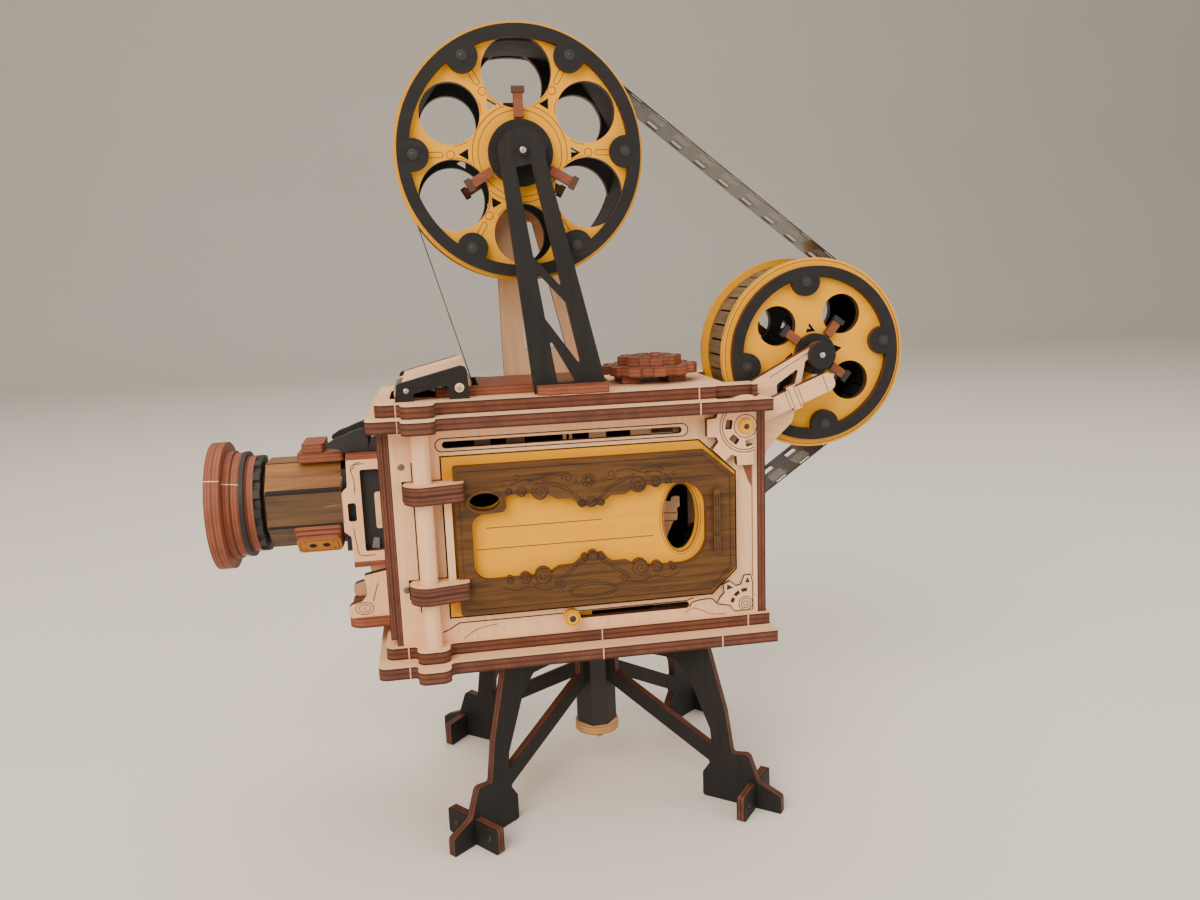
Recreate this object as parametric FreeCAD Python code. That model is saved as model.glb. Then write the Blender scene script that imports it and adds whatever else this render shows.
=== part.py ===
"""Hand-cranked toy film projector of laser-cut plywood on a four-legged stand.

Millimetres. +X is the rear, the lens looks along -X, the door is on the -Y side and +Z is up.
The origin is under the middle of the object, on the surface that it stands on.
"""
import FreeCAD, Part
import math
import os

Vector = FreeCAD.Vector

# Sheet stock
ply = 3.0
flange_ply = 4.0
card = 1.0
near_face = -27.0
wall_in = 24.0

# Stand
stand_x = 7.0
stand_height = 58.0
leg_azimuth = 39.5
hub_flat = 6.5
hub_flat_width = 7.0
hub_bottom = 20.0
toe_reach = 73.0
toe_height = 6.0
foot_block_reach = 61.0
foot_block_length = 24.0
foot_block_height = 9.0

# Swivel of the head on the stand
swivel_radius = 3.0
swivel_disc_radius = 8.05
swivel_disc_gap = 0.3

# Running fits
shaft_radius = 1.5
shaft_clearance = 0.05
slide_clearance = 0.15

# Case: the two base plates, the four walls and the two top plates
base_lower_span = (-69.0, 66.0)
base_lower_half = 36.0
base_upper_span = (-66.5, 65.5)
base_upper_half = 29.0
top_lower_span = (-67.3, 64.7)
top_lower_half = 36.0
top_upper_span = (-64.5, 62.0)
top_upper_half = 28.0
wall_height = 72.5
front_in = -60.7
front_ply = 1.95
front_face = front_in - 2 * front_ply
rear_in = 61.5
front_layer_lift = 2.0
plate_corner = 3.0
base_top = stand_height + flange_ply
case_floor = base_top + flange_ply
case_roof = case_floor + wall_height
deck = case_roof + flange_ply
roof = deck + flange_ply

# Hinge post and the door that turns about it
post_x = -50.9
post_y = -30.3
post_radius = 2.9
post_clearance = 0.05
post_lobe_half = 5.3
post_lobe_reach = 6.7
door_left = -44.6
door_right = 53.6
door_low = case_floor + 8.4
door_high = case_floor + 62.5
door_gap = 0.5
door_chamfer_top = (41.0, case_floor + 51.0)
door_chamfer_low = (45.0, case_floor + 16.6)
overlay_left = -41.3
overlay_right = 52.6
overlay_low = case_floor + 9.5
overlay_high = case_floor + 59.6
overlay_chamfer_top = (42.4, case_floor + 50.7)
overlay_chamfer_low = (44.4, case_floor + 18.0)
field_left = -36.0
field_right = 42.6
field_sill = 11.3
field_head = 10.4
window_x = 34.3
window_z = case_floor + 36.4
window_half_width = 5.9
window_half_height = 11.7
peep_x = -31.6
peep_z = case_floor + 47.5
peep_half_width = 5.0
peep_half_height = 3.0
pull_x = 46.0
pull_low = case_floor + 24.0
pull_high = case_floor + 46.4
pull_width = 2.2
leaf_low = (case_floor + 16.0, case_floor + 49.0)
leaf_height = 6.0
leaf_knuckle = 6.3
leaf_reach = -38.0
leaf_gap = 0.4

# Latch that slides in the sill
latch_x = -4.4
latch_z = case_floor + 5.0
latch_travel = 39.0
latch_stem = 1.05
latch_knob = 2.75
latch_bar = 15.0
latch_slot_height = 2.4

# Header slot above the door
header_slot = (-44.0, 35.4)
header_slot_z = case_roof - 6.0
header_slot_height = 2.3

# Gear-shaped corner trim and the lever that turns in it
lever_x = 56.7
lever_z = case_roof - 5.6
trim_disc = 10.6
trim_tooth_tip = 13.6
trim_right = 59.5
lever_angle = 21.5
lever_length = 36.4
lever_width = 6.4
lever_hub = 4.8

# Reels
top_x = -12.9
top_z = roof + 77.3
top_flange = 40.2
top_ring = 39.1
top_ring_width = 3.9
top_drum = 38.05
rear_x = 86.9
rear_z = roof + 8.0
rear_flange = 33.1
rear_ring = 30.3
rear_ring_width = 3.9
rear_drum = 30.85
flange_in = 11.2
ring_ply = 2.5
drum_wall = 3.0
top_hub = 10.4
rear_hub = 7.1

# Arms that carry the reels
arm_face = 22.0
arm_head = 7.4
bracket_face = 20.7
bracket_boss = 4.6
rear_cap = 4.8

# Film and what guides it
film_width = 21.5
film_thickness = 0.3
film_gap = 0.3
sprocket_x = 19.7
sprocket_z = case_floor + 18.5
sprocket_radius = 12.05
guide_x = -37.1
guide_z = roof + 3.7
guide_radius = 4.2
turn_x = -56.0
turn_z = roof + 2.3
turn_radius = 2.2
lower_x = -53.2
lower_z = case_floor + 30.0
lower_radius = 5.0
guide_face = 22.0
guide_front = 5.7
guide_rear = 11.2

# Gear train
module = 1.5
backlash = 0.35
crank_x = 39.5
crank_z = case_floor + 32.0
crank_teeth = 20
sprocket_teeth = 12
idler_teeth = 34
shutter_teeth = 16
shutter_radius = 20.1
crank_to_idler = 166.3
idler_to_shutter = 144.8
inner_plate = 11.5
gear_in = 15.2
gear_out = 19.2

# Crank
crank_plane = 29.0
crank_throw = 24.0
knob_radius = 4.6
knob_length = 17.5
knob_pin = 1.5

# Music cylinder and comb
cylinder_radius = 7.0
cylinder_length = 18.0
pin_size = 0.6
comb_teeth = 12
comb_thickness = 0.8
comb_gap = 0.15

# Lens
lens_z = case_floor + 46.0
barrel_front = -102.3
barrel_rear = -77.9
barrel_radius = 15.5
barrel_bore = 11.0
lens_tube = 10.95
grip_gap = 1.3
grip_ply = 2.2
ring_steps = ((2.8, 16.3), (1.4, lens_tube), (2.8, 17.6), (2.4, 18.3), (4.8, 21.5))
stop_disc_radius = 17.9
slip_ply = 1.4
ear_half = 4.2
glass_radius = 12.0
gate_half = 14.0
gate_front = -75.6
gate_low = lens_z - 19.6
gate_high = lens_z + 15.2
gate_board = 2.0
lens_axis_hole = 9.0

# Worked out from the sizes above
near_in = -wall_in
bore_radius = shaft_radius + shaft_clearance
ring_in = flange_in + ply
post_bore = post_radius + post_clearance
field_low = overlay_low + field_sill
field_high = overlay_high - field_head
grip_rear = barrel_front - grip_gap
grip_front = grip_rear - grip_ply
lens_front = grip_front - sum(length for length, radius in ring_steps)
tube_rear = barrel_rear - 7.2
barrel_flat = barrel_radius * math.cos(math.radians(22.5))
reel_notch_start = rear_x - rear_flange - 0.8
reel_notch_half = ring_in + ring_ply + 0.7

AXES = {
    "front": (Vector(1, 0, 0), Vector(0, 0, 1), Vector(0, -1, 0), Vector(0, 1, 0)),
    "side": (Vector(0, 1, 0), Vector(0, 0, 1), Vector(1, 0, 0), Vector(1, 0, 0)),
    "flat": (Vector(1, 0, 0), Vector(0, 1, 0), Vector(0, 0, 1), Vector(0, 0, 1)),
}


def outline(points):
    """Closed wire through points (u, v) or (u, v, r), where r rounds that corner with an arc."""
    spots = [Vector(point[0], point[1], 0) for point in points]
    edges = []
    ends = []
    for number, point in enumerate(points):
        here = spots[number]
        before = (spots[number - 1] - here).normalize()
        after = (spots[(number + 1) % len(spots)] - here).normalize()
        radius = point[2] if len(point) > 2 else 0
        if not radius:
            ends.append((here, here, None))
            continue
        half = before.getAngle(after) / 2
        reach = radius / math.tan(half)
        bisector = (before + after).normalize()
        middle = here + bisector * (radius / math.sin(half) - radius)
        ends.append((here + before * reach, here + after * reach, middle))
    for number, (start, end, middle) in enumerate(ends):
        if middle:
            edges.append(Part.Arc(start, middle, end).toShape())
        following = ends[(number + 1) % len(ends)][0]
        if end.distanceToPoint(following) > 1e-6:
            edges.append(Part.LineSegment(end, following).toShape())
    return Part.Wire(edges)


def circle(u, v, radius):
    """Round wire."""
    return Part.Wire([Part.makeCircle(radius, Vector(u, v, 0))])


def ellipse(u, v, half_width, half_height):
    """Upright or lying oval wire."""
    long, short = max(half_width, half_height), min(half_width, half_height)
    curve = Part.Ellipse(Vector(0, 0, 0), long, short).toShape()
    if half_height > half_width:
        curve.rotate(Vector(0, 0, 0), Vector(0, 0, 1), 90)
    curve.translate(Vector(u, v, 0))
    return Part.Wire([curve])


def box(low_u, low_v, high_u, high_v, radius=0):
    """Rectangular wire with rounded corners."""
    corners = [(low_u, low_v), (high_u, low_v), (high_u, high_v), (low_u, high_v)]
    return outline([corner + (radius,) for corner in corners])


def slot(low_u, high_u, v, height):
    """Wire of a level slot with round ends."""
    return box(low_u, v - height / 2, high_u, v + height / 2, height / 2 - 0.001)


def plate(view, wire, low, high, holes=()):
    """Sheet cut to a wire drawn in one view, between two planes across that view."""
    face = Part.makeFace([wire, *holes], "Part::FaceMakerBullseye")
    right, up, normal, across = AXES[view]
    face.Placement = FreeCAD.Placement(
        across * low, FreeCAD.Rotation(right, up, normal, "XYZ")
    )
    return face.extrude(across * (high - low))


def pin(x, z, radius, low, high):
    """Round bar along Y."""
    return Part.makeCylinder(radius, high - low, Vector(x, low, z), Vector(0, 1, 0))


def barrel(radius, low, high):
    """Round bar along the lens axis."""
    return Part.makeCylinder(radius, high - low, Vector(low, 0, lens_z), Vector(1, 0, 0))


def block(low, high):
    """Box between two corners."""
    size = [end - start for start, end in zip(low, high)]
    return Part.makeBox(*size, Vector(*low))


def polar(centre_u, centre_v, radius, angle):
    """Point at a radius and an angle in degrees."""
    turn = math.radians(angle)
    return (centre_u + radius * math.cos(turn), centre_v + radius * math.sin(turn))


def mirrored(shape):
    """The same piece on the other side of the lens axis."""
    return shape.mirror(Vector(0, 0, 0), Vector(0, 1, 0))


def save(name, *solids):
    """Write one node."""
    shape = solids[0] if len(solids) == 1 else Part.makeCompound(list(solids))
    if len(shape.Solids) == 1:
        shape = shape.Solids[0]
    shape.exportStep(os.path.join("parts", name + ".step"))


# Stand


def leg_plate(azimuth):
    """Leg, beam and brace in one sheet, with the cross block that its foot laps into."""
    beam_low = stand_height - 8.0
    block_out = foot_block_reach + ply
    lap = foot_block_height / 2
    rim = outline([
        (hub_flat, stand_height), (45.8, stand_height, 2), (52.7, 33, 8), (55, 18, 1),
        (foot_block_reach, 19, 2), (block_out + 0.6, foot_block_height + 0.5, 1.5),
        (toe_reach, toe_height, 1.5), (toe_reach, 0), (block_out, 0), (block_out, lap),
        (foot_block_reach, lap), (foot_block_reach, 0), (44, 0, 1), (44, 9, 1),
        (47.0, 13.6, 1), (hub_flat, 36.2),
    ])
    opening = outline([
        (hub_flat + 3, 40.6, 0.6), (hub_flat + 3, beam_low, 0.6),
        (33.5, beam_low, 1), (39.2, 44, 6), (47.0, 26, 2), (47.6, 19.6, 0.6),
    ])
    cut_low = outline([(12, 51.6, 0.4), (24, 51.6, 0.4), (12, 56.4, 0.4)])
    cut_high = outline([(16, 56.4, 0.4), (28, 51.6, 0.4), (28, 56.4, 0.4)])
    leg = plate("front", rim, -ply / 2, ply / 2, [opening, cut_low, cut_high])
    cross = plate(
        "side", box(-foot_block_length / 2, 0, foot_block_length / 2, foot_block_height, 1),
        foot_block_reach, block_out,
    )
    cross = cross.cut(block(
        (foot_block_reach, -ply / 2, lap), (block_out, ply / 2, foot_block_height)
    ))
    pieces = []
    for piece in (leg, cross):
        piece.rotate(Vector(0, 0, 0), Vector(0, 0, 1), azimuth)
        piece.translate(Vector(stand_x, 0, 0))
        pieces.append(piece)
    return pieces


def stand_hub():
    """Post with a flat for each leg, bored for the swivel."""
    corners = []
    for azimuth in (leg_azimuth, 180 - leg_azimuth, 180 + leg_azimuth, -leg_azimuth):
        foot = polar(stand_x, 0, hub_flat, azimuth)
        for side in (-1, 1):
            corners.append(polar(*foot, hub_flat_width / 2, azimuth + 90 * side))
    bore = circle(stand_x, 0, swivel_radius + shaft_clearance)
    return plate("flat", outline(corners), hub_bottom, stand_height, [bore])


def swivel_post():
    """Pin under the head, held from below by a disc with three pegs."""
    disc_high = hub_bottom - swivel_disc_gap
    disc_low = disc_high - ply
    post = Part.makeCylinder(swivel_radius, base_top - disc_low, Vector(stand_x, 0, disc_low))
    disc = Part.makeCylinder(swivel_disc_radius, ply, Vector(stand_x, 0, disc_low))
    post = post.fuse(disc)
    for turn in (30, 150, 270):
        spot = polar(stand_x, 0, 5.5, turn)
        post = post.fuse(Part.makeCylinder(1.0, 1.5, Vector(*spot, disc_low - 1.5)))
    return post.removeSplitter()


# Case


def case_plate(span, half, low, holes=()):
    """Base or top plate with the round lobe that the hinge post stands in."""
    left, right = span
    lobe_left = post_x - post_lobe_half
    lobe_right = post_x + post_lobe_half
    rim = outline([
        (left, half, plate_corner), (left, -half, plate_corner),
        (lobe_left, -half, 1.5), (lobe_left, -half - post_lobe_reach, 3),
        (lobe_right, -half - post_lobe_reach, 3), (lobe_right, -half, 1.5),
        (right, -half, 1), (right, half, 1),
    ])
    return plate("flat", rim, low, low + flange_ply, holes)


def base_plate_lower():
    """Lower base plate, bored for the swivel pin."""
    hole = circle(stand_x, 0, swivel_radius)
    return case_plate(base_lower_span, base_lower_half, stand_height, [hole])


def base_plate_upper():
    """Upper base plate, which the walls stand on."""
    return case_plate(base_upper_span, base_upper_half, base_top)


def top_openings():
    """Slots through the top plates for the reel, the lever, the corner gear and the wheel."""
    reel_notch = block((reel_notch_start, -reel_notch_half, case_roof), (70, reel_notch_half, roof))
    gear_slot = block((47.2, near_face - ply - 0.1, case_roof), (59.8, near_face + 0.1, roof))
    lever_slot = block((56.0, near_in, case_roof), (66.0, near_in + ply + 0.4, deck))
    wheel_slot = block((-49.6, gear_in - 0.5, case_roof), (-11.4, gear_in + ply + 0.5, roof))
    pinion_slot = block((-44.4, gear_in + ply, case_roof), (-16.6, gear_out + ply + 0.5, deck))
    return gear_slot.fuse([reel_notch, lever_slot, wheel_slot, pinion_slot])


def top_plate_lower():
    """Lower top plate with the slot that the film goes down through."""
    film_slot = box(-60.2, -12, -54.2, 12, 1)
    whole = case_plate(top_lower_span, top_lower_half, case_roof, [film_slot])
    return whole.cut(top_openings())


def top_plate_upper():
    """Upper top plate, open between the film guide's sides."""
    film_slot = box(-60.2, -12, -31.0, 12, 1)
    whole = case_plate(top_upper_span, top_upper_half, deck, [film_slot])
    return whole.cut(top_openings())


def door_rim(spread):
    """Outline of the door sheet, or of the opening round it when spread."""
    slant = spread * 0.5
    return outline([
        (door_left - spread, door_low - spread),
        (door_chamfer_low[0] + slant, door_low - spread),
        (door_right + spread, door_chamfer_low[1] - slant),
        (door_right + spread, door_chamfer_top[1] + slant),
        (door_chamfer_top[0] + slant, door_high + spread),
        (door_left - spread, door_high + spread),
    ])


def near_wall():
    """Side with the door opening, the header slot and the latch slot."""
    header = slot(*header_slot, header_slot_z, header_slot_height)
    sill = slot(
        latch_x - latch_stem - 1.2, latch_x + latch_travel + latch_stem + 1.2,
        latch_z, latch_slot_height,
    )
    pivot = circle(lever_x, lever_z, bore_radius)
    wall = plate(
        "front", box(front_in, case_floor, rear_in, case_roof), near_face, near_in,
        [door_rim(door_gap), header, sill, pivot],
    )
    for low in leaf_low:
        knuckle = leaf_knuckle + leaf_gap
        wall = wall.cut(block(
            (post_x - knuckle, near_face - 1, low - leaf_gap),
            (door_left, near_in + 1, low + leaf_height + leaf_gap),
        ))
    return wall


def far_wall():
    """Side with the shaft bearings and three windows."""
    holes = [
        circle(crank_x, crank_z, bore_radius),
        circle(sprocket_x, sprocket_z, bore_radius),
        circle(*idler_centre(), bore_radius),
        circle(*shutter_centre(), bore_radius),
        box(-54, case_floor + 10, -30, case_floor + 40, 3),
        box(-22, case_floor + 6, 8, case_floor + 26, 3),
        outline([(28, case_floor + 46, 3), (54, case_floor + 46, 3),
                 (54, case_floor + 57, 3), (24, case_floor + 57, 3)]),
    ]
    return plate(
        "front", box(front_in, case_floor, rear_in, case_roof), wall_in, -near_face, holes
    )


def front_wall():
    """Two layers with the round hole in front of the lamp."""
    light = circle(0, lens_z, lens_axis_hole)
    inner_rim = box(near_face, case_floor, -near_face, case_roof)
    inner = plate("side", inner_rim, front_in - front_ply, front_in, [light])
    outer_rim = box(near_face, case_floor + front_layer_lift, -near_face, case_roof, 1)
    outer = plate("side", outer_rim, front_face, front_in - front_ply, [light])
    return inner, outer


def rear_wall():
    """End wall with the film slot and the lever slot."""
    film_slot = box(-12, case_floor + 29, 12, case_floor + 38, 1)
    sill = case_roof - 10.0
    lever_side = near_in + ply + 0.4
    rim = outline([
        (near_face, case_floor), (-near_face, case_floor), (-near_face, case_roof),
        (reel_notch_half, case_roof), (reel_notch_half, sill),
        (-reel_notch_half, sill), (-reel_notch_half, case_roof),
        (lever_side, case_roof), (lever_side, sill),
        (near_in, sill), (near_in, case_roof), (near_face, case_roof),
    ])
    return plate("side", rim, rear_in, rear_in + ply, [film_slot])


def hinge_post():
    """Round post that the door turns about."""
    return Part.makeCylinder(post_radius, wall_height, Vector(post_x, post_y, case_floor))


def gear_ring(centre, teeth_at, tip, root, tooth_half):
    """Outline of a disc with a few wide teeth at given angles."""
    points = []
    for angle in teeth_at:
        points.append(polar(*centre, root, angle - tooth_half - 5))
        points.append(polar(*centre, tip, angle - tooth_half))
        points.append(polar(*centre, tip, angle + tooth_half))
        points.append(polar(*centre, root, angle + tooth_half + 5))
    return points


def corner_gear():
    """Gear-shaped trim at the upper rear corner; its disc stands up through the top plates."""
    centre = (lever_x, lever_z)
    teeth = outline(gear_ring(centre, range(180, 451, 45), trim_tooth_tip, trim_disc, 12.5))
    holes = [circle(*centre, bore_radius)]
    for angle in (172, 228, 285):
        corners = [polar(*centre, 4.9, angle - 18), polar(*centre, 7.2, angle - 14),
                   polar(*centre, 7.2, angle + 14), polar(*centre, 4.9, angle + 18)]
        holes.append(outline([corner + (0.4,) for corner in corners]))
    low = near_face - ply
    toothed = plate("front", teeth, low, near_face, holes)
    toothed = toothed.cut(block((40, low - 1, case_roof), (75, 0, roof)))
    disc = plate("front", circle(*centre, trim_disc), low, near_face, holes)
    whole = toothed.fuse(disc).cut(block((trim_right, low - 1, case_floor), (75, 0, roof)))
    return whole.removeSplitter()


def rear_lever():
    """Paddle inside the wall that comes out over the rear wall, with its pivot pin."""
    low = near_in + slide_clearance
    high = low + ply - slide_clearance
    centre = (lever_x, lever_z)
    along = math.radians(lever_angle)
    half = lever_width / 2
    tip = polar(*centre, lever_length, lever_angle)
    across = (-math.sin(along) * half, math.cos(along) * half)
    arm = outline([
        (centre[0] + across[0], centre[1] + across[1]),
        (centre[0] - across[0], centre[1] - across[1]),
        (tip[0] - across[0], tip[1] - across[1], 2.4),
        (tip[0] + across[0], tip[1] + across[1], 2.4),
    ])
    collar_at = polar(*centre, 21.0, lever_angle)
    collar_side = (math.cos(along) * 1.6, math.sin(along) * 1.6)
    reach = 1.35
    collar = outline([
        (collar_at[0] + collar_side[0] * way + across[0] * reach * side,
         collar_at[1] + collar_side[1] * way + across[1] * reach * side)
        for way, side in ((-1, -1), (1, -1), (1, 1), (-1, 1))
    ])
    lever = plate("front", arm, low, high)
    lever = lever.fuse(pin(*centre, lever_hub, low, high))
    lever = lever.fuse(plate("front", collar, low, high))
    lever = lever.fuse(pin(*centre, shaft_radius, near_face - ply, low))
    return lever.removeSplitter()


# Door and latch


def door_sheet():
    """Thin inset sheet with the oval window and the peep hole."""
    holes = [
        ellipse(window_x, window_z, window_half_width, window_half_height),
        ellipse(peep_x, peep_z, peep_half_width, peep_half_height),
    ]
    return plate("front", door_rim(0), near_face, near_in, holes)


def scroll_field():
    """Opening of the overlay: a long panel with scrolls hanging in at the middle."""
    low = field_low
    high = field_high
    upper = [
        (field_right, high, 9), (19, high, 2), (15, high - 2.6, 2), (10, high - 2.6, 2),
        (6.5, high - 5.6, 2), (0.5, high - 5.6, 2), (-3, high - 2.6, 2),
        (-8, high - 2.6, 2), (-12, high, 2), (-24.5, high, 1.5), (-24.5, high - 5.5, 2),
        (field_left, high - 6, 4),
    ]
    lower = [
        (field_left, low, 5), (-12, low, 2), (-8, low + 2.6, 2), (-3, low + 2.6, 2),
        (0.5, low + 5.6, 2), (6.5, low + 5.6, 2), (10, low + 2.6, 2), (15, low + 2.6, 2),
        (19, low, 2), (field_right, low, 9),
    ]
    return outline(upper + lower)


def door_overlay():
    """Walnut frame glued on the sheet, with the upright pull strip."""
    rim = outline([
        (overlay_left, overlay_low, 1), (overlay_chamfer_low[0], overlay_low),
        (overlay_right, overlay_chamfer_low[1]), (overlay_right, overlay_chamfer_top[1]),
        (overlay_chamfer_top[0], overlay_high), (overlay_left, overlay_high, 1),
    ])
    peep = ellipse(peep_x, peep_z, peep_half_width, peep_half_height)
    front = near_face - ply
    frame = plate("front", rim, front, near_face, [scroll_field(), peep])
    strip = plate(
        "front",
        box(pull_x - pull_width / 2, pull_low, pull_x + pull_width / 2, pull_high, 1.05),
        front - 1.5, front,
    )
    return frame.fuse(strip).removeSplitter()


def door_hinge_leaves():
    """Two laminated leaves bored for the post, and the strip between them."""
    leaves = []
    for low in leaf_low:
        arm = outline([
            (post_x, near_face), (post_x, post_y - leaf_knuckle),
            (leaf_reach, near_face - ply - 4.0, 1.5), (leaf_reach, near_face - ply),
            (overlay_left, near_face - ply), (overlay_left, near_face),
        ])
        leaf = plate("flat", arm, low, low + leaf_height)
        knuckle = Part.makeCylinder(leaf_knuckle, leaf_height, Vector(post_x, post_y, low))
        bore = Part.makeCylinder(post_bore, leaf_height, Vector(post_x, post_y, low))
        leaves.append(leaf.fuse(knuckle).cut(bore).removeSplitter())
    low, high = leaf_low[0] + leaf_height, leaf_low[1]
    strip = block((door_left, near_face - ply, low), (door_left + 2.4, near_face, high))
    return leaves + [strip]


def latch_slider():
    """Bar behind the sill with the round knob in front."""
    low = near_in + slide_clearance
    bar = block(
        (latch_x - latch_bar / 2, low, case_floor + 0.2),
        (latch_x + latch_bar / 2, low + ply, door_low - 0.6),
    )
    knob_back = near_face - slide_clearance
    stem = pin(latch_x, latch_z, latch_stem, knob_back, low)
    knob = pin(latch_x, latch_z, latch_knob, knob_back - ply, knob_back)
    return bar.fuse([stem, knob]).removeSplitter()


# Arms, brackets and trim on top


def between(low, high, z):
    """Point of a straight edge at a height; its ends are (x, z)."""
    share = (z - low[1]) / (high[1] - low[1])
    return low[0] + share * (high[0] - low[0])


def reel_arm_near():
    """Braced two-legged arm with a round head for the top reel's axle."""
    outer_left = ((top_x + 0.2, roof), (top_x - 7.3, top_z - 0.7))
    inner_left = ((top_x + 7.9, roof + 3.5), (top_x - 2.3, top_z - 4.9))
    inner_right = ((top_x + 17.3, roof + 3.5), (top_x + 2.7, top_z - 3.9))
    outer_right = ((top_x + 24.7, roof), (top_x + 7.1, top_z - 1.6))
    low_cross = roof + 19.0
    mid_cross = roof + 29.5

    def inside(side, z):
        return (between(*side, z), z, 0.5)

    rim = outline([outer_left[0], outer_right[0], outer_right[1], outer_left[1]])
    brace = 4.6
    lower = outline([
        inside(inner_left, roof + 3.5), (top_x + 14.1, roof + 3.5, 0.5),
        inside(inner_left, low_cross),
    ])
    middle = outline([
        inside(inner_left, low_cross + brace + 1.0), inside(inner_right, roof + 3.5 + brace),
        inside(inner_right, mid_cross), inside(inner_left, mid_cross + 10.5),
    ])
    upper = outline([
        inside(inner_left, mid_cross + 10.5 + brace), inside(inner_right, mid_cross + brace),
        inside(inner_right, top_z - 3.9), inside(inner_left, top_z - 4.9),
    ])
    arm = plate("front", rim, -arm_face, ply - arm_face)
    arm = arm.fuse(pin(top_x, top_z, arm_head, -arm_face, ply - arm_face))
    for cut in (lower, middle, upper, circle(top_x, top_z, bore_radius)):
        arm = arm.cut(plate("front", cut, -arm_face, ply - arm_face))
    return arm.removeSplitter()


def reel_arm_far():
    """Plain tapered arm on the other side."""
    rim = outline([
        (top_x - 6.6, roof), (top_x + 24.9, roof),
        (top_x + 7.1, top_z - 1.6), (top_x - 7.3, top_z - 0.7),
    ])
    window_high = top_z - 19.8
    window = outline([
        (top_x + 1.4, roof + 12, 1), (top_x + 16.9, roof + 12, 1),
        (top_x + 6.3, window_high, 1), (top_x + 0.3, window_high, 1),
    ])
    low = arm_face - ply
    arm = plate("front", rim, low, arm_face)
    arm = arm.fuse(pin(top_x, top_z, arm_head, low, arm_face))
    arm = arm.cut(plate("front", window, low, arm_face))
    arm = arm.cut(pin(top_x, top_z, bore_radius, low, arm_face))
    return arm.removeSplitter()


def rear_bracket():
    """Arm from the rear wall up to the rear reel's axle."""
    wall_out = rear_in + ply
    deck_end = top_lower_span[1]
    roof_end = top_upper_span[1]
    rim = outline([
        (wall_out, case_roof - 20.5, 1), (rear_x - 16.6, rear_z - 28.8, 1),
        (rear_x - 10.3, rear_z - 22.9, 3), (rear_x - 7.4, rear_z - 11.5, 3),
        (rear_x - 5.6, rear_z - 2.2, 0.5), (rear_x - 4.0, rear_z - 0.6),
        (rear_x - 1.0, rear_z + 4.2), (rear_x - 3.9, rear_z + 2.7, 1),
        (roof_end, roof), (roof_end, deck), (deck_end, deck), (deck_end, case_roof),
        (wall_out, case_roof),
    ])
    window = outline([
        (rear_x - 15.9, rear_z - 9.5, 0.5), (rear_x - 15.5, rear_z - 15.1, 0.5),
        (rear_x - 9.3, rear_z - 9.5, 0.5), (rear_x - 7.9, rear_z - 4.1, 0.5),
    ])
    low = bracket_face - ply
    arm = plate("front", rim, low, bracket_face, [window])
    arm = arm.fuse(pin(rear_x, rear_z, bracket_boss, low, bracket_face))
    arm = arm.cut(pin(rear_x, rear_z, bore_radius, low, bracket_face))
    return arm.removeSplitter()


def top_trim():
    """Ridge plate on the roof and the wavy foot plates beside the arms."""
    ridge_rim = outline([
        (-45, -16, 1), (13, -16, 1), (13, 14.2, 1), (-30.5, 14.2), (-30.5, -12.5),
        (-45, -12.5, 1),
    ])
    ridge = plate("flat", ridge_rim, roof, roof + ply)
    ridge = ridge.cut(pin(guide_x, guide_z, shaft_radius + 0.4, -20, 20))
    foot = outline([
        (-12, -arm_face), (-12, -25.5, 1), (-7.5, -27.4, 2), (-2.5, -26.2, 3),
        (2.5, -27.6, 3), (7.5, -26.4, 3), (11.5, -27.2, 1), (11.5, -arm_face),
    ])
    near_foot = plate("flat", foot, roof, roof + ply)
    return ridge, near_foot, mirrored(near_foot)


def cog_rim(x, y, tip, root, teeth):
    """Outline of an ornamental cog."""
    points = []
    step = 360 / teeth
    for tooth in range(teeth):
        angle = tooth * step
        points.append(polar(x, y, root, angle - step * 0.27))
        points.append(polar(x, y, tip, angle - step * 0.22))
        points.append(polar(x, y, tip, angle + step * 0.22))
        points.append(polar(x, y, root, angle + step * 0.27))
    return outline(points)


def cog_ornament():
    """Two cog-shaped plates stacked on spacers, with a small peg."""
    spacer_high = roof + ply
    lower = plate("flat", cog_rim(31, 0, 17, 15, 12), spacer_high, spacer_high + ply)
    upper = plate("flat", cog_rim(31, 0, 11.4, 9.6, 8), spacer_high + ply, spacer_high + 2 * ply)
    peg = Part.makeCylinder(1.6, 1.6, Vector(31.5, -7.0, spacer_high + 2 * ply))
    spacers = [
        block((low_x, -8, roof), (low_x + 6.2, 8, spacer_high)) for low_x in (19.5, 36.0)
    ]
    return [lower, upper.fuse(peg).removeSplitter()] + spacers


# Film guide


def guide_side():
    """Side plate of the film guide with its arch window."""
    rim = outline([
        (-58.0, roof), (-34.0, roof), (-34.5, roof + guide_rear, 2),
        (-57.2, roof + guide_front, 1.5),
    ])
    arch = outline([
        (-52.0, roof), (-40.6, roof), (-40.6, roof + 5.1, 1.5), (-52.0, roof + 2.4, 0.6),
    ])
    low = guide_face - ply
    side = plate("front", rim, low, guide_face)
    side = side.cut(plate("front", arch, low, guide_face))
    side = side.cut(pin(guide_x, guide_z, bore_radius, low, guide_face))
    return side


def guide_cover():
    """Sloping cover between the guide's sides and the fixed bar that turns the film."""
    inside = guide_face - ply
    rise = (guide_rear - guide_front) / (57.2 - 34.5)
    top_rear = roof + guide_rear - 0.2
    top_front = top_rear - rise * 20.4
    rim = outline([
        (-35.0, top_rear), (-55.4, top_front), (-55.4, top_front - card),
        (-35.0, top_rear - card),
    ])
    cover = plate("front", rim, -inside, inside)
    return cover, pin(turn_x, turn_z, turn_radius, -inside, inside)


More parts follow.
